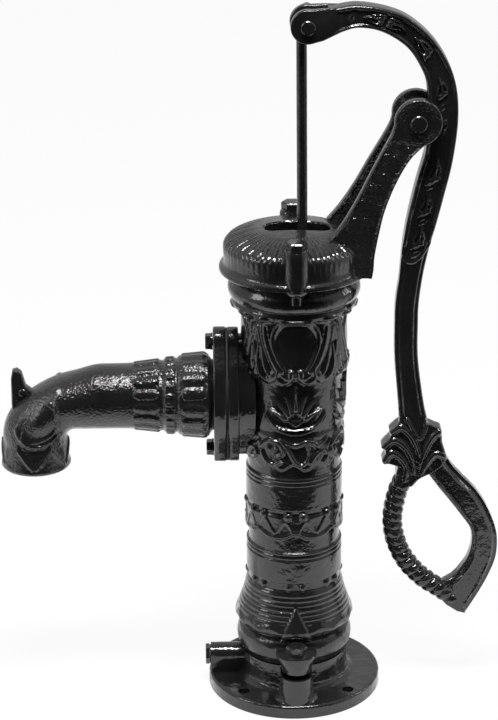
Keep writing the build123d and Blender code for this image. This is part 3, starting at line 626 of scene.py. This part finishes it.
# --- barrel fittings ---------------------------------------------------------
class PUMP_OT_lugs(bpy.types.Operator):
    """Make the barrel's bolt lugs and the oval seat for the spout"""
    bl_idname = "pump.lugs"
    bl_label = "Barrel lugs"

    def execute(self, context):
        paint = shared("gloss_black_paint", black_paint)
        bm = bmesh.new()
        lug_y = node_box("base_bolts")[1].y - 9.6
        for sign in (-1, 1):
            self.lug(bm, sign, lug_y, [(0.0, 12.6), (0.8, 13.8), (5, 14.8), (11, 16.8), (16, 19.2), (17.3, 19.4), (18, 18.4)],
                     BARREL_Z, 10.5)
            tip = [(0, 10.9), (-1, 11.0), (-4, 10.2), (-8, 7.2), (-11, 3.4), (-12.5, 0.8)]
            self.lug(bm, sign, LID_BOLT_Y, [(-z, r) for z, r in [(-s, r) for s, r in tip]][::-1], BARREL_TOP, 18, True)
        finish_mesh(bm, "barrel_lugs", paint, "pump_body")
        seat = bmesh.new()
        plate(seat, [(a, b + SPOUT_Z) for a, b in oval_outline(0.995)], -61.5, -51.5, 1.4, "YZ")
        plate(seat, [(a, b + SPOUT_Z) for a, b in oval_outline(0.9)], -53, -36, 1.0, "YZ")
        finish_mesh(seat, "spout_seat", paint, "pump_body")
        return {"FINISHED"}

    def lug(self, bm, sign, y, levels, z0, back, tip=False):
        """Half-round lug standing out of the wall, its radius set level by level."""
        count = 40
        table = np.array(levels)
        reach = y - back - 14

        def place(row, column):
            z, r = table[row].T
            c = (column % count) / count
            angle = np.pi * np.clip(c / 0.7, 0, 1)
            curved = c <= 0.7
            x = np.where(curved, r * np.cos(angle), -r + (c - 0.7) / 0.3 * 2 * r)
            out = np.where(curved, y + np.minimum(r, 16.6) * np.sin(angle) - (11.5 - r if tip else 0), reach)
            out = np.where(curved & (angle < 0.01), reach + 8, out)
            return x, sign * out, z0 + z
        wrap(bm, len(levels) - 1, count, place)


# --- spout -------------------------------------------------------------------
class PUMP_OT_spout(bpy.types.Operator):
    """Make the spout: oval flange, petal cuff, tube, leafed elbow and mouth"""
    bl_idname = "pump.spout"
    bl_label = "Spout"

    def execute(self, context):
        paint = shared("rough_cast_paint", lambda: black_paint("rough_cast_paint", 0.00075, 0.14))
        bm = bmesh.new()
        start = spout_high.x
        reach = -SPOUT_REACH
        mouth_z = spout_low.z
        bend = SPOUT_BEND
        knee = reach + bend
        path = [(start, SPOUT_Z)] + [(knee, SPOUT_Z)]
        path += arc((knee, SPOUT_Z - bend), bend, 90, 180, 26)[1:]
        path += [(reach, mouth_z)]
        fine = dense([tuple(p) for p in path], 2.0)
        flat = [math.dist(a, b) for a, b in zip(fine, fine[1:])]
        total = sum(flat)
        knee_run = start - knee
        o = 13.5
        outer = [(1, 30), (o - 3, 32), (o, 33.5), (o + 3, 38.2), (o + 8, 39.4), (o + 26, 37.8), (o + 30, 36.6),
                 (o + 32, 34.4), (o + 35, 35.6), (o + 42, 35.2), (o + 45, 32.6), (o + 47, 33.0), (o + 51, 33.2),
                 (o + 70, 30.9), (o + 74, 30.6), (o + 80, 30.4), (o + 128, 30.2), (total - 40, 30.2),
                 (total - 24, 29.8), (total - 15, 30.5), (total - 6, 31.1), (total - 2.0, 31.4), (total, 30.0),
                 (total, 25), (1, 25)]
        steps = [1.1] * (len(outer) - 2) + [7]
        stations = dense(outer, steps)
        columns = 192

        def grow(s, angle, r):
            t = s - o
            shown = r > 27
            lift = np.zeros(s.shape)
            for low, high, count, height in ((4, 28, 16, 1.5), (48.5, 72, 16, 1.5)):
                local = np.abs(((angle / (2 * np.pi) * count) + 0.5) % 1 - 0.5) * 2
                end = np.clip(np.minimum(t - low, high - t) / 6.0, 0, 1)
                width = 0.74 * np.sqrt(1 - (1 - end) ** 2) + 0.001
                lift += height * rib(local, width) * (end > 0) - 0.5 * (end > 0)
            around = angle / (2 * np.pi) * 26
            bead = np.hypot((np.abs((around + 0.5) % 1 - 0.5)) * 2 / 0.42, (t - 38.5) / 4.0)
            lift += 1.4 * rib(bead, 1.0) - 0.5 * soft(t - 38.5, 4.5)
            side = np.abs(np.sin(angle))
            u = (np.abs(((angle - np.pi / 2) % np.pi) - 0) * 1.0)
            off = np.minimum(np.abs(angle - np.pi / 2), np.abs(angle - 1.5 * np.pi)) * 30
            lead = np.where(np.abs(angle - np.pi / 2) < np.pi / 2, angle - np.pi / 2, 1.5 * np.pi - angle) * 30
            knob = np.hypot(lead + 2, (s - (total - 53)) * 0.9)
            lift += 3.2 * soft(knob, 15) + 1.5 * rib(knob - 17.5, 2.4) * (lead > -12)
            lift += stroke(lead, s, [(-22, total - 78), (-12, total - 76), (0, total - 72), (10, total - 62)],
                           2.6, 1.7, 0.4)
            lift += stroke(lead, s, [(-20, total - 40), (-8, total - 31), (6, total - 29), (16, total - 36),
                                     (20, total - 48)], 2.6, 1.9, 0.6)
            vee = (angle / (2 * np.pi) * 6) % 1
            vee = np.abs(vee - 0.5) * 2 * 12.0
            line = total - 25 + (12 - vee) * 1.7
            lift += 1.9 * soft((s - line) * 0.5, 2.6) * (s > total - 28) * (s < total - 5)
            lift += 1.1 * soft(vee, 5) * ramp_up(s, total - 24, total - 16) * (1 - ramp_up(s, total - 9, total - 5))
            lift += 1.0 * ramp_up(s, total - 7, total - 4)
            dip = 9.5 * soft(s - (knee_run + 17), 44) * np.clip(np.cos(angle), 0, 1) ** 1.5
            return np.where(shown, np.clip(lift, -1.0, 3.4), 0) - dip
        tube(bm, fine, stations, columns, grow)
        finish_mesh(bm, "spout_casting", paint, "pump_body", ("spout",), smooth=math.radians(70))

        flange = bmesh.new()
        plate(flange, [(a, b + SPOUT_Z) for a, b in oval_outline(1.0)], start - 11.8, start, 1.6, "YZ")
        spur_x = reach - 14
        spur = [(spur_x - 5, SPOUT_Z - 30), (spur_x - 6.5, SPOUT_Z - 6), (spur_x - 6.2, SPOUT_Z + 20)]
        spur += [(spur_x - 4.8, SPOUT_Z + 27), (spur_x - 0.5, SPOUT_Z + 28.2), (spur_x + 3.6, SPOUT_Z + 25)]
        spur += [(spur_x + 7, SPOUT_Z + 12), (spur_x + 13, SPOUT_Z + 7), (spur_x + 24, SPOUT_Z + 4)]
        spur += [(spur_x + 26, SPOUT_Z - 12), (spur_x + 10, SPOUT_Z - 30)]
        plate(flange, spur, -6, 6, 2.2)
        lathe(flange, smooth_curve([(0, 7.6), (2.6, 7.2), (4.0, 6.2), (4.6, 4.5)], 4), 20, (0, -1, 0),
              (spur_x + 4.5, 0, SPOUT_Z + 6))
        finish_mesh(flange, "spout_flange", shared("gloss_black_paint", black_paint), "pump_body")
        return {"FINISHED"}


# --- lid and fork ------------------------------------------------------------
class PUMP_OT_lid(bpy.types.Operator):
    """Make the fluted lid with its priming slot, bolt bosses and the fork"""
    bl_idname = "pump.lid"
    bl_label = "Lid and fork"

    def execute(self, context):
        self.dome()
        self.fork()
        return {"FINISHED"}

    def dome(self):
        """Domed lid with radial flutes that fade towards the slot."""
        bm = bmesh.new()
        top, columns = BARREL_TOP, 320
        slot_half, slot_r, slot_x = 30.0, 11.3, 3.0
        height_r = [0, 15, 32, 45, 55.5, 60.5, 63.7]
        height_z = [41.2, 40.9, 38.9, 36.2, 32.4, 29.8, 26.2]
        rows = [("dome", t) for t in np.linspace(0, 1, 40)]
        rows += [("ring", r, z) for r, z in ((64.5, 24.0), (64.6, 21), (64.4, 16), (64.2, 11), (64.4, 7.2),
                                             (65.6, 5.2), (68.0, 4.2), (68.5, 3.0), (68.4, 0.9), (67.6, 0.1),
                                             (47.0, 0.1), (46.0, 14.0))]
        rows += [("under", t) for t in (0.35, 0.7, 1.0)]
        kinds = np.array([0 if r[0] == "dome" else 1 if r[0] == "ring" else 2 for r in rows])
        first = np.array([r[1] for r in rows])
        second = np.array([r[2] if len(r) > 2 else 0 for r in rows])

        def slot_edge(angle):
            c, s = np.cos(angle), np.sin(angle)
            flat = slot_r / np.maximum(np.abs(s), 1e-6)
            run = slot_half - slot_r
            on_flat = np.abs(flat * c) <= run
            b = run * np.abs(c)
            bow = b + np.sqrt(np.maximum(b * b - run * run + slot_r * slot_r, 0))
            return np.where(on_flat, flat, bow)

        def place(row, column):
            angle = 2 * np.pi * (column % columns) / columns
            edge = slot_edge(angle)
            ex, ey = slot_x + edge * np.cos(angle), edge * np.sin(angle)
            ox, oy = 63.6 * np.cos(angle), 63.6 * np.sin(angle)
            t = first[row]
            kind = kinds[row]
            x, y = ex + (ox - ex) * t, ey + (oy - ey) * t
            r = np.hypot(x, y)
            z = np.interp(r, height_r, height_z)
            turn = np.arctan2(y, x)
            count = 72
            local = np.abs((turn / (2 * np.pi) * count + 0.5) % 1 - 0.5) * 2
            deep = 1.5 * ramp_up(r, 24, 60)
            z = z - deep * local ** 3
            z = np.where(t < 0.03, z - 1.2, z)
            ring_r = t - 0.9 * (1 - np.sqrt(np.clip(1 - local ** 2, 0, 1))) * ramp_up(second[row], 13, 20)
            x = np.where(kind == 1, ring_r * np.cos(angle), x)
            y = np.where(kind == 1, ring_r * np.sin(angle), y)
            z = np.where(kind == 1, second[row], z)
            ux, uy = 45 * np.cos(angle), 45 * np.sin(angle)
            x = np.where(kind == 2, ux + (ex - ux) * t, x)
            y = np.where(kind == 2, uy + (ey - uy) * t, y)
            z = np.where(kind == 2, np.interp(np.hypot(x, y), height_r, height_z) - 7.5, z)
            return x, y, top + z
        wrap(bm, len(rows) - 1, columns, place, caps=False)
        edges = [e for e in bm.edges if e.is_boundary]
        bmesh.ops.bridge_loops(bm, edges=edges)
        for sign in (-1, 1):
            boss = [(11.2, 0.2), (11.6, 2), (11.4, 12), (11.3, 28), (11.2, 34.5), (10.4, 36.6), (9.4, 37.0), (0, 37.0)]
            lathe(bm, boss, 40, (0, 0, 1), (0, sign * LID_BOLT_Y, top))
        finish_mesh(bm, "lid_dome", shared("gloss_black_paint", black_paint), "pump_body", ("lid_bracket",))

    def fork(self):
        """Two splayed arms with pebbled panels inside a raised border."""
        pebbled = shared("pebbled_paint", lambda: black_paint("pebbled_paint", 0.0011, 0.14))
        px, pz, top = pivot.x, pivot.z, BARREL_TOP
        inner = smooth_curve([(px - 20.6, pz + 2), (px - 23, pz - 8), (px - 29, pz - 20), (px - 43, pz - 46),
                              (px - 55, pz - 69), (px - 68, pz - 90), (px - 79, pz - 104)], 10)
        inner += smooth_curve([(px - 79, pz - 105), (px - 70, pz - 112), (px - 62, pz - 120), (px - 60, pz - 138.4)], 6)[1:]
        outer = smooth_curve([(px + 19, pz - 8), (px + 8, pz - 18.5), (px - 7, pz - 33), (px - 19.5, pz - 54),
                              (px - 29, pz - 77), (px - 34, pz - 96), (px - 38.5, pz - 118), (px - 39.5, pz - 130),
                              (px - 41, pz - 138.4)], 10)
        rows = 120
        split = 0.78
        a1, b1 = even(inner, rows), even(outer, rows)
        gap, thick = HANDLE_GAP, ARM_T

        def panel(along, across, width):
            depth = 1.5 * ramp_up(width - np.abs(across), 2.2, 3.6)
            pebble = 0.35 * np.sin(along * 2.1 + 3 * np.sin(across * 1.3)) * np.sin(across * 2.3 + 2 * np.sin(along))
            return (pebble - 1) * depth * 0.8 * ramp_up(along, 14, 22)

        bm = bmesh.new()
        for sign in (-1, 1):
            def middle(z, sign=sign):
                drop = np.clip((pz - 21.5 - z) / (pz - 21.5 - top), 0, 1)
                return sign * (gap / 2 + thick / 2 + 19.0 * drop)
            band(bm, a1, b1, thick / 2, panel, 1.3, 60, middle)
            y = sign * (gap / 2)
            disc = [(6.1, 0.3), (19.6, 0.3), (21.3, 1.6), (21.5, 4), (21.5, thick - 1.8), (20.6, thick - 0.5),
                    (19.6, thick - 0.1), (18.4, thick - 0.4), (16.8, thick - 1.0), (6.1, thick - 1.0)]
            lathe(bm, disc, 64, (0, sign, 0), (px, y, pz), closed=True)
        finish_mesh(bm, "fork_arms", pebbled, "pump_body")


# --- handle ------------------------------------------------------------------
def flame(v, s, size):
    """Leaf bud of three lobes pointing towards growing s, about size long."""
    h = 2.6
    result = stroke(v, s, [(0, -0.1 * size), (0.06 * size, 0.4 * size), (0, size)], 0.17 * size, h, 0.2)
    for side in (-1, 1):
        result = np.maximum(result, stroke(v, s, [(side * 0.06 * size, -0.1 * size), (side * 0.30 * size, 0.12 * size),
                                                  (side * 0.13 * size, 0.62 * size)], 0.13 * size, 0.85 * h, 0.35))
        knot = np.hypot(v - side * 0.26 * size, s + 0.12 * size)
        result = np.maximum(result, 0.8 * h * rib(knot, 0.13 * size))
    return result


class PUMP_OT_handle(bpy.types.Operator):
    """Make the handle: forked tip, leafed lever, leaf collar, rope and flat branch of the grip"""
    bl_idname = "pump.handle"
    bl_label = "Handle"

    def execute(self, context):
        paint = shared("gloss_black_paint", black_paint)
        px, pz = pivot.x, pivot.z
        half = HANDLE_T / 2
        outer = smooth_curve([(-80, 101.5), (-72.8, 101.7), (-53.7, 104), (-27.2, 99.5), (-5.8, 89.6), (15.9, 69),
                              (31.5, 39.3), (36.3, 4.8), (32.5, -36.9), (24.4, -74.3), (15.3, -112), (8.6, -142.8),
                              (4.6, -173.7), (4.1, -197), (4.7, -229), (10, -269), (15.2, -296)], 12)
        inner = smooth_curve([(-84, 72.5), (-76, 76.5), (-69.4, 79.5), (-53.5, 83.7), (-32.2, 79.7), (-10.7, 65.9),
                              (2.5, 46.1), (8.1, 28.5), (9.5, 0), (7.7, -29.2), (0.2, -59), (-6.5, -89),
                              (-11.4, -119.5), (-14, -150), (-16.9, -173), (-17.5, -197), (-17, -229),
                              (-13.6, -268.5), (-11.4, -296)], 12)
        rows = 420
        a = even(inner, rows) + (px, pz)
        b = even(outer, rows) + (px, pz)
        mid_z = (a[:, 1] + b[:, 1]) / 2
        mid = (a + b) / 2
        along = np.concatenate([[0], np.cumsum(np.hypot(*np.diff(mid, axis=0).T))])

        def near(x, z):
            return along[np.argmin(np.hypot(mid[:, 0] - px - x, mid[:, 1] - pz - z))]
        buds = [(near(-40, 92), -1, 15), (near(-18, 86), 1, 14), (near(4, 68), -1, 17), (near(22, 30), -1, 15),
                (near(22, -10), 1, 12), (near(20, -48), -1, 19), (near(12, -80), -1, 17), (near(5, -110), -1, 17)]
        dots = [near(-60, 92), near(27, 12), near(16, -62), near(8, -96), near(1, -126)]

        def cast(s, v, width):
            lift = 1.9 * ramp_up(np.abs(v), width - 4.4, width - 2.8)
            lift = lift * (1 - ramp_up(s, along[-1] - 195, along[-1] - 175))
            low = ramp_up(s, along[-1] - 190, along[-1] - 170)
            lift -= low * 1.6 * ramp_up(np.abs(v), width - 5.5, width - 3.5)
            for place, way, size in buds:
                close = np.abs(s - place) < 1.4 * size
                lift[close] += flame(v[close], way * (s[close] - place) + 0.4 * size, size)
            for place in dots:
                lift += 0.8 * rib(np.hypot(v, (s - place) * 1.6) - 4, 1.6)
            collar = near(-2, -133)
            lift += 1.1 * rib(s - collar - 0.06 * v ** 2 * -1, 1.8)
            return np.clip(lift - 1.9, -3.4, 0.5)
        bm = bmesh.new()
        band(bm, a, b, half, cast, 2.2, 64)
        boss = [(6.1, -half), (16.2, -half), (17.5, -half + 1.2), (17.5, half - 1.2), (16.2, half), (6.1, half)]
        lathe(bm, boss, 48, (0, 1, 0), (px, 0, pz), closed=True)
        self.tip(bm, px, pz)
        finish_mesh(bm, "handle_lever", paint, "handle", ("handle",), smooth=math.radians(50))
        self.collar(px, pz, paint)
        self.grip(px, pz, paint)
        return {"FINISHED"}

    def tip(self, bm, px, pz):
        """Two cheeks that hold the rod's eye."""
        cx, cz = rod_pin.x, rod_pin.z
        for sign in (-1, 1):
            outline = [(px - 68, pz + 102), (px - 84, pz + 101.6)] + arc((cx, cz), TIP_R, 78, 280, 26)
            outline += [(px - 84, pz + 73.2), (px - 68, pz + 80)]
            cheek = bmesh.new()
            plate(cheek, outline, sign * 6.3, sign * 14.3, 1.3)
            for v in cheek.verts:
                t = min(1.0, max(0.0, (v.co.x - cx - 4) / 26))
                if abs(v.co.y) > 9:
                    v.co.y -= sign * 5.6 * t * t * (3 - 2 * t)
            mesh = bpy.data.meshes.new("cheek")
            cheek.to_mesh(mesh)
            cheek.free()
            bm.from_mesh(mesh)
            bpy.data.meshes.remove(mesh)
        solid = [(px - 66, pz + 101), (px - 77, pz + 100.6), (px - 77, pz + 77), (px - 66, pz + 80.5)]
        plate(bm, solid, -8.5, 8.5, 1.0)

    def collar(self, px, pz, paint):
        """Leaf collar whose tips curl out like folded cloth."""
        left = [(-286, -11.6), (-293, -12), (-299.5, -18.5), (-302, -21), (-304.5, -19), (-308, -20), (-314.5, -26),
                (-317.5, -28.5), (-320.5, -24.5), (-325, -24.5), (-331, -27.6), (-333.5, -27.0), (-335.0, -20),
                (-338.0, -12.2), (-345, -14), (-352, -14.5), (-358, -17)]
        right = [(-286, 13.4), (-294, 15), (-299.5, 26.5), (-301.5, 28), (-314, 28.8), (-323, 31.5), (-331, 34.2),
                 (-338, 30), (-344, 22), (-349, 11), (-352, 7), (-358, 2)]
        z = np.linspace(-286, -358, 110)
        flip = np.array(left)[::-1], np.array(right)[::-1]
        a = np.stack([np.interp(z, flip[0][:, 0], flip[0][:, 1]), z], axis=1)
        b = np.stack([np.interp(z, flip[1][:, 0], flip[1][:, 1]), z], axis=1)
        mid = (a[:, 0] + b[:, 0]) / 2
        folds = (([(-20, -302), (-10, -297), (0, -306), (7, -322), (8, -338)], 4.2, 3.0),
                 ([(-28, -317.5), (-17, -310), (-6, -317), (1, -330), (2, -344)], 4.2, 3.2),
                 ([(-27, -332.5), (-19, -323), (-10, -328), (-4, -338), (-6, -352)], 4.2, 3.2),
                 ([(27, -302), (20, -307), (13, -320), (9, -334)], 4.0, 2.8),
                 ([(31, -327), (22, -325), (15, -334), (10, -344)], 3.6, 2.4),
                 ([(-5, -289), (0, -299), (7, -309), (12, -300), (13, -289)], 2.4, 2.4))

        def leaves(s, v, width):
            zz = -286 - s * 0 - np.clip(s, 0, None)
            zz = np.interp(s, run, z)
            xx = np.interp(s, run, mid) + v
            lift = np.zeros(s.shape)
            for points, wide, high in folds:
                lift = np.maximum(lift, stroke(xx, zz, points, wide, high, 0.45))
            return lift - 1.2
        centre = (a + b) / 2
        run = np.concatenate([[0], np.cumsum(np.hypot(*np.diff(centre, axis=0).T))])
        bm = bmesh.new()
        band(bm, a + (px, pz), b + (px, pz), HANDLE_T / 2 - 0.6, leaves, 2.6, 104)
        finish_mesh(bm, "leaf_collar", paint, "handle", smooth=math.radians(55))

    def grip(self, px, pz, paint):
        """Flat bevelled branch, and the rope branch that closes the loop."""
        half = GRIP_T / 2
        outer = smooth_curve([(30, -322), (38, -337), (49, -350), (62.4, -364.7), (73, -382), (81, -402),
                              (83.4, -417.8), (82, -435.5), (75, -455), (65.4, -474), (54, -493.5)], 12)
        inner = smooth_curve([(6, -332), (13.5, -342), (25, -359), (36.6, -374), (49, -391), (57.7, -404.5),
                              (59.4, -419), (55.6, -435), (47, -449), (38, -460), (42, -472)], 12)
        a, b = even(inner, 200) + (px, pz), even(outer, 200) + (px, pz)

        def bevelled(s, v, width):
            lift = -2.4 * ramp_up(np.abs(v), width - 5.5, width - 3.2)
            return lift + 0.7 * rib(np.abs(v) - (width - 5.6), 1.1) - 0.5
        flat = bmesh.new()
        band(flat, a, b, half, bevelled, 1.8, 56)
        toe = [(px + 30, pz - 462), (px + 42, pz - 455), (px + 52, pz - 462), (px + 58, pz - 474),
               (px + 54.6, pz - 493.6), (px + 47, pz - 491.5), (px + 36, pz - 484), (px + 28, pz - 474)]
        plate(flat, toe, -half + 1.2, half - 1.2, 2.0)
        finish_mesh(flat, "grip_branch", paint, "handle", smooth=math.radians(50))

        line = smooth_curve([(-2, -345), (-9.5, -359), (-14.5, -377), (-16.3, -400), (-10.5, -424), (-1, -441),
                             (10, -453.6), (21, -462.5), (31, -469.5), (44, -479.5)], 14)
        path = even(line, 400) + (px, pz)
        length = float(np.sum(np.hypot(*np.diff(path, axis=0).T)))
        pitch = length / (2 * context_turns())
        stations = [(s, 8.3 + 1.0 * min(1, s / 20) - 0.5 * max(0, 1 - (length - s) / 30))
                    for s in np.linspace(0, length, 330)]

        def strands(s, angle, r):
            phase = (s / pitch + angle / (2 * np.pi) * 1.0) % 1.0
            ridge = np.sqrt(np.clip(1 - ((phase - 0.5) * 2.05) ** 2, 0, 1))
            return 2.3 * ridge - 1.9 + 0.18 * np.sin(9 * angle + s)
        rope = bmesh.new()
        tube(rope, path, stations, 72, strands)
        bmesh.ops.holes_fill(rope, edges=[e for e in rope.edges if e.is_boundary], sides=0)
        finish_mesh(rope, "grip_rope", paint, "handle", smooth=math.radians(60))


def context_turns():
    """Twists of the rope from the size settings."""
    return bpy.context.scene.pump_sizes.rope_turns


# --- base --------------------------------------------------------------------
class PUMP_OT_base(bpy.types.Operator):
    """Make the cast fillets of the base: hub root and lower lugs"""
    bl_idname = "pump.base"
    bl_label = "Base castings"

    def execute(self, context):
        paint = shared("gloss_black_paint", black_paint)
        bm = bmesh.new()
        r = base_high.z
        root = smooth_curve([(50.6, 24), (50.9, 19), (52.4, 15.2), (56.2, 12.9), (58, 12.45)], 5)
        lathe(bm, [(50.0, 24)] + root + [(50.0, 12.4)], 96, closed=True)
        lug_y = node_box("base_bolts")[1].y - 9.6
        for sign in (-1, 1):
            levels = [(12.4, 20.5), (13.2, 18.6), (15.5, 17.3), (20, 16.6), (31, 15.6), (34.5, 15.0), (36.4, 13.6),
                      (37.0, 11.5)]
            PUMP_OT_lugs.lug(self, bm, sign, lug_y, levels, 0.0, 4.5)
        finish_mesh(bm, "base_lugs", paint, "pump_body")
        return {"FINISHED"}


# --- studio ------------------------------------------------------------------
class PUMP_OT_studio(bpy.types.Operator):
    """Make the pale floor, the white surround, the softboxes and the camera"""
    bl_idname = "pump.studio"
    bl_label = "Studio"

    def execute(self, context):
        studio = context.scene.pump_studio
        scene = context.scene
        scene.view_settings.view_transform = "Standard"
        self.make_world(scene)
        self.make_floor()
        self.add_lamp("top_softbox", (0.05, -0.55, 2.2), (0.0, 0.0, 0.3), (0.9, 0.3), studio.top_power)
        self.add_lamp("left_softbox", (-1.9, -0.6, 1.5), (0.0, 0.0, 0.3), (0.5, 1.2), studio.side_power)
        self.add_lamp("right_softbox", (1.9, 0.5, 1.4), (0.0, 0.0, 0.3), (0.4, 1.2), studio.side_power * 0.7)
        camera = bpy.data.objects.new("camera", bpy.data.cameras.new("camera"))
        scene.collection.objects.link(camera)
        camera.data.lens = studio.lens
        camera.data.sensor_width = 36.0
        camera.data.shift_x = -0.0625
        camera.location = (-0.0795, -2.1633, 1.1898)
        target = Vector((0.0, 0.0, 0.3312))
        camera.rotation_mode = "QUATERNION"
        camera.rotation_quaternion = (target - camera.location).to_track_quat("-Z", "Y")
        scene.camera = camera
        return {"FINISHED"}

    def make_world(self, scene):
        """White all round, darker low in front where the room beyond the table is."""
        world = bpy.data.worlds.new("studio")
        scene.world = world
        world.use_nodes = True
        tree = world.node_tree
        tree.nodes.clear()
        link = tree.links.new
        out = tree.nodes.new("ShaderNodeOutputWorld")
        seen = tree.nodes.new("ShaderNodeBackground")
        lit = tree.nodes.new("ShaderNodeBackground")
        mix = tree.nodes.new("ShaderNodeMixShader")
        path = tree.nodes.new("ShaderNodeLightPath")
        coords = tree.nodes.new("ShaderNodeTexCoord")
        split = tree.nodes.new("ShaderNodeSeparateXYZ")
        ramp = tree.nodes.new("ShaderNodeValToRGB")
        flip = tree.nodes.new("ShaderNodeMath")
        flip.operation = "MULTIPLY_ADD"
        flip.inputs[1].default_value = 0.5
        flip.inputs[2].default_value = 0.5
        link(coords.outputs["Generated"], split.inputs[0])
        link(split.outputs["Y"], flip.inputs[0])
        link(flip.outputs[0], ramp.inputs["Fac"])
        ramp.color_ramp.elements[0].position = 0.16
        ramp.color_ramp.elements[0].color = (0.02, 0.02, 0.02, 1)
        ramp.color_ramp.elements[1].position = 0.34
        ramp.color_ramp.elements[1].color = (0.5, 0.5, 0.5, 1)
        link(ramp.outputs["Color"], lit.inputs["Color"])
        seen.inputs["Color"].default_value = (1, 1, 1, 1)
        link(path.outputs["Is Camera Ray"], mix.inputs["Fac"])
        link(lit.outputs[0], mix.inputs[1])
        link(seen.outputs[0], mix.inputs[2])
        link(mix.outputs[0], out.inputs["Surface"])

    def make_floor(self):
        """Pale table top that keeps the pump's shadow."""
        bm = bmesh.new()
        bmesh.ops.create_grid(bm, x_segments=1, y_segments=1, size=1.0)
        bmesh.ops.scale(bm, vec=(3.0, 1.7, 1.0), verts=bm.verts)
        bmesh.ops.translate(bm, vec=(0, 1.35, 0), verts=bm.verts)
        mesh = bpy.data.meshes.new("floor")
        bm.to_mesh(mesh)
        bm.free()
        floor = bpy.data.objects.new("floor", mesh)
        bpy.context.scene.collection.objects.link(floor)
        material = bpy.data.materials.new("pale_floor")
        material.use_nodes = True
        tree = material.node_tree
        shader = tree.nodes["Principled BSDF"]
        shader.inputs["Base Color"].default_value = (0.86, 0.86, 0.86, 1)
        shader.inputs["Roughness"].default_value = 0.7
        shader.inputs["Specular IOR Level"].default_value = 0.0
        glow = tree.nodes.new("ShaderNodeEmission")
        glow.inputs["Strength"].default_value = 1.0
        mix = tree.nodes.new("ShaderNodeMixShader")
        path = tree.nodes.new("ShaderNodeLightPath")
        part = tree.nodes.new("ShaderNodeMath")
        part.operation = "MULTIPLY"
        part.inputs[1].default_value = 0.92
        tree.links.new(path.outputs["Is Camera Ray"], part.inputs[0])
        tree.links.new(part.outputs[0], mix.inputs["Fac"])
        tree.links.new(shader.outputs[0], mix.inputs[1])
        tree.links.new(glow.outputs[0], mix.inputs[2])
        tree.links.new(mix.outputs[0], tree.nodes["Material Output"].inputs["Surface"])
        mesh.materials.append(material)

    def add_lamp(self, name, place, aim, size, power):
        """Rectangular softbox aimed at a point."""
        lamp = bpy.data.lights.new(name, "AREA")
        lamp.shape = "RECTANGLE"
        lamp.size, lamp.size_y = size
        lamp.energy = power
        item = bpy.data.objects.new(name, lamp)
        item.location = place
        item.rotation_mode = "QUATERNION"
        item.rotation_quaternion = (Vector(aim) - Vector(place)).to_track_quat("-Z", "Y")
        bpy.context.scene.collection.objects.link(item)


class PUMP_OT_finishes(bpy.types.Operator):
    """Give every construction part that stays its finish"""
    bl_idname = "pump.finishes"
    bl_label = "Finishes"

    def execute(self, context):
        finish = context.scene.pump_finish
        slots = {row["node"]: row["material_slot"] for row in frame["record"]["subparts"]}
        makers = {
            "black_paint": lambda: shared("gloss_black_paint", black_paint),
            "black_steel": lambda: shared("painted_steel", lambda: black_paint("painted_steel", 0.00006, 0.2)),
            "steel": lambda: shared("plain_steel", lambda: metal("plain_steel", tuple(finish.steel), 0.3)),
            "bare_iron": lambda: shared("bare_iron", lambda: metal("bare_iron", (0.14, 0.13, 0.12, 1), 0.5)),
            "brass": lambda: shared("brass", lambda: metal("brass", (0.66, 0.46, 0.19, 1), 0.28)),
            "leather": lambda: shared("oiled_leather", leather),
            "gasket_rubber": lambda: shared("gasket_rubber", rubber),
        }
        for name, node in frame["nodes"].items():
            node.data.materials.clear()
            node.data.materials.append(makers[slots[name]]())
        return {"FINISHED"}


class PUMP_PT_panel(bpy.types.Panel):
    """Sidebar panel with the pump's pieces"""
    bl_label = "Well Pump"
    bl_idname = "PUMP_PT_panel"
    bl_space_type = "VIEW_3D"
    bl_region_type = "UI"
    bl_category = "Well Pump"

    def draw(self, context):
        layout = self.layout
        for group in (context.scene.pump_finish, context.scene.pump_sizes, context.scene.pump_studio):
            for name in group.__annotations__:
                layout.prop(group, name)
        for operator in OPERATORS:
            layout.operator(operator.bl_idname)


GROUPS = (("pump_finish", PumpFinish), ("pump_sizes", PumpSizes), ("pump_studio", PumpStudio))
OPERATORS = (PUMP_OT_finishes, PUMP_OT_barrel, PUMP_OT_lugs, PUMP_OT_spout, PUMP_OT_lid, PUMP_OT_handle,
             PUMP_OT_base, PUMP_OT_studio)


def register():
    for name, group in GROUPS:
        bpy.utils.register_class(group)
        setattr(bpy.types.Scene, name, PointerProperty(type=group))
    for item in OPERATORS + (PUMP_PT_panel,):
        bpy.utils.register_class(item)


def unregister():
    for item in reversed(OPERATORS + (PUMP_PT_panel,)):
        bpy.utils.unregister_class(item)
    for name, group in reversed(GROUPS):
        delattr(bpy.types.Scene, name)
        bpy.utils.unregister_class(group)


def main():
    """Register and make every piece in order."""
    register()
    bpy.ops.pump.finishes()
    bpy.ops.pump.barrel()
    bpy.ops.pump.lugs()
    bpy.ops.pump.spout()
    bpy.ops.pump.lid()
    bpy.ops.pump.handle()
    bpy.ops.pump.base()
    bpy.ops.pump.studio()


if __name__ == "__main__":
    main()
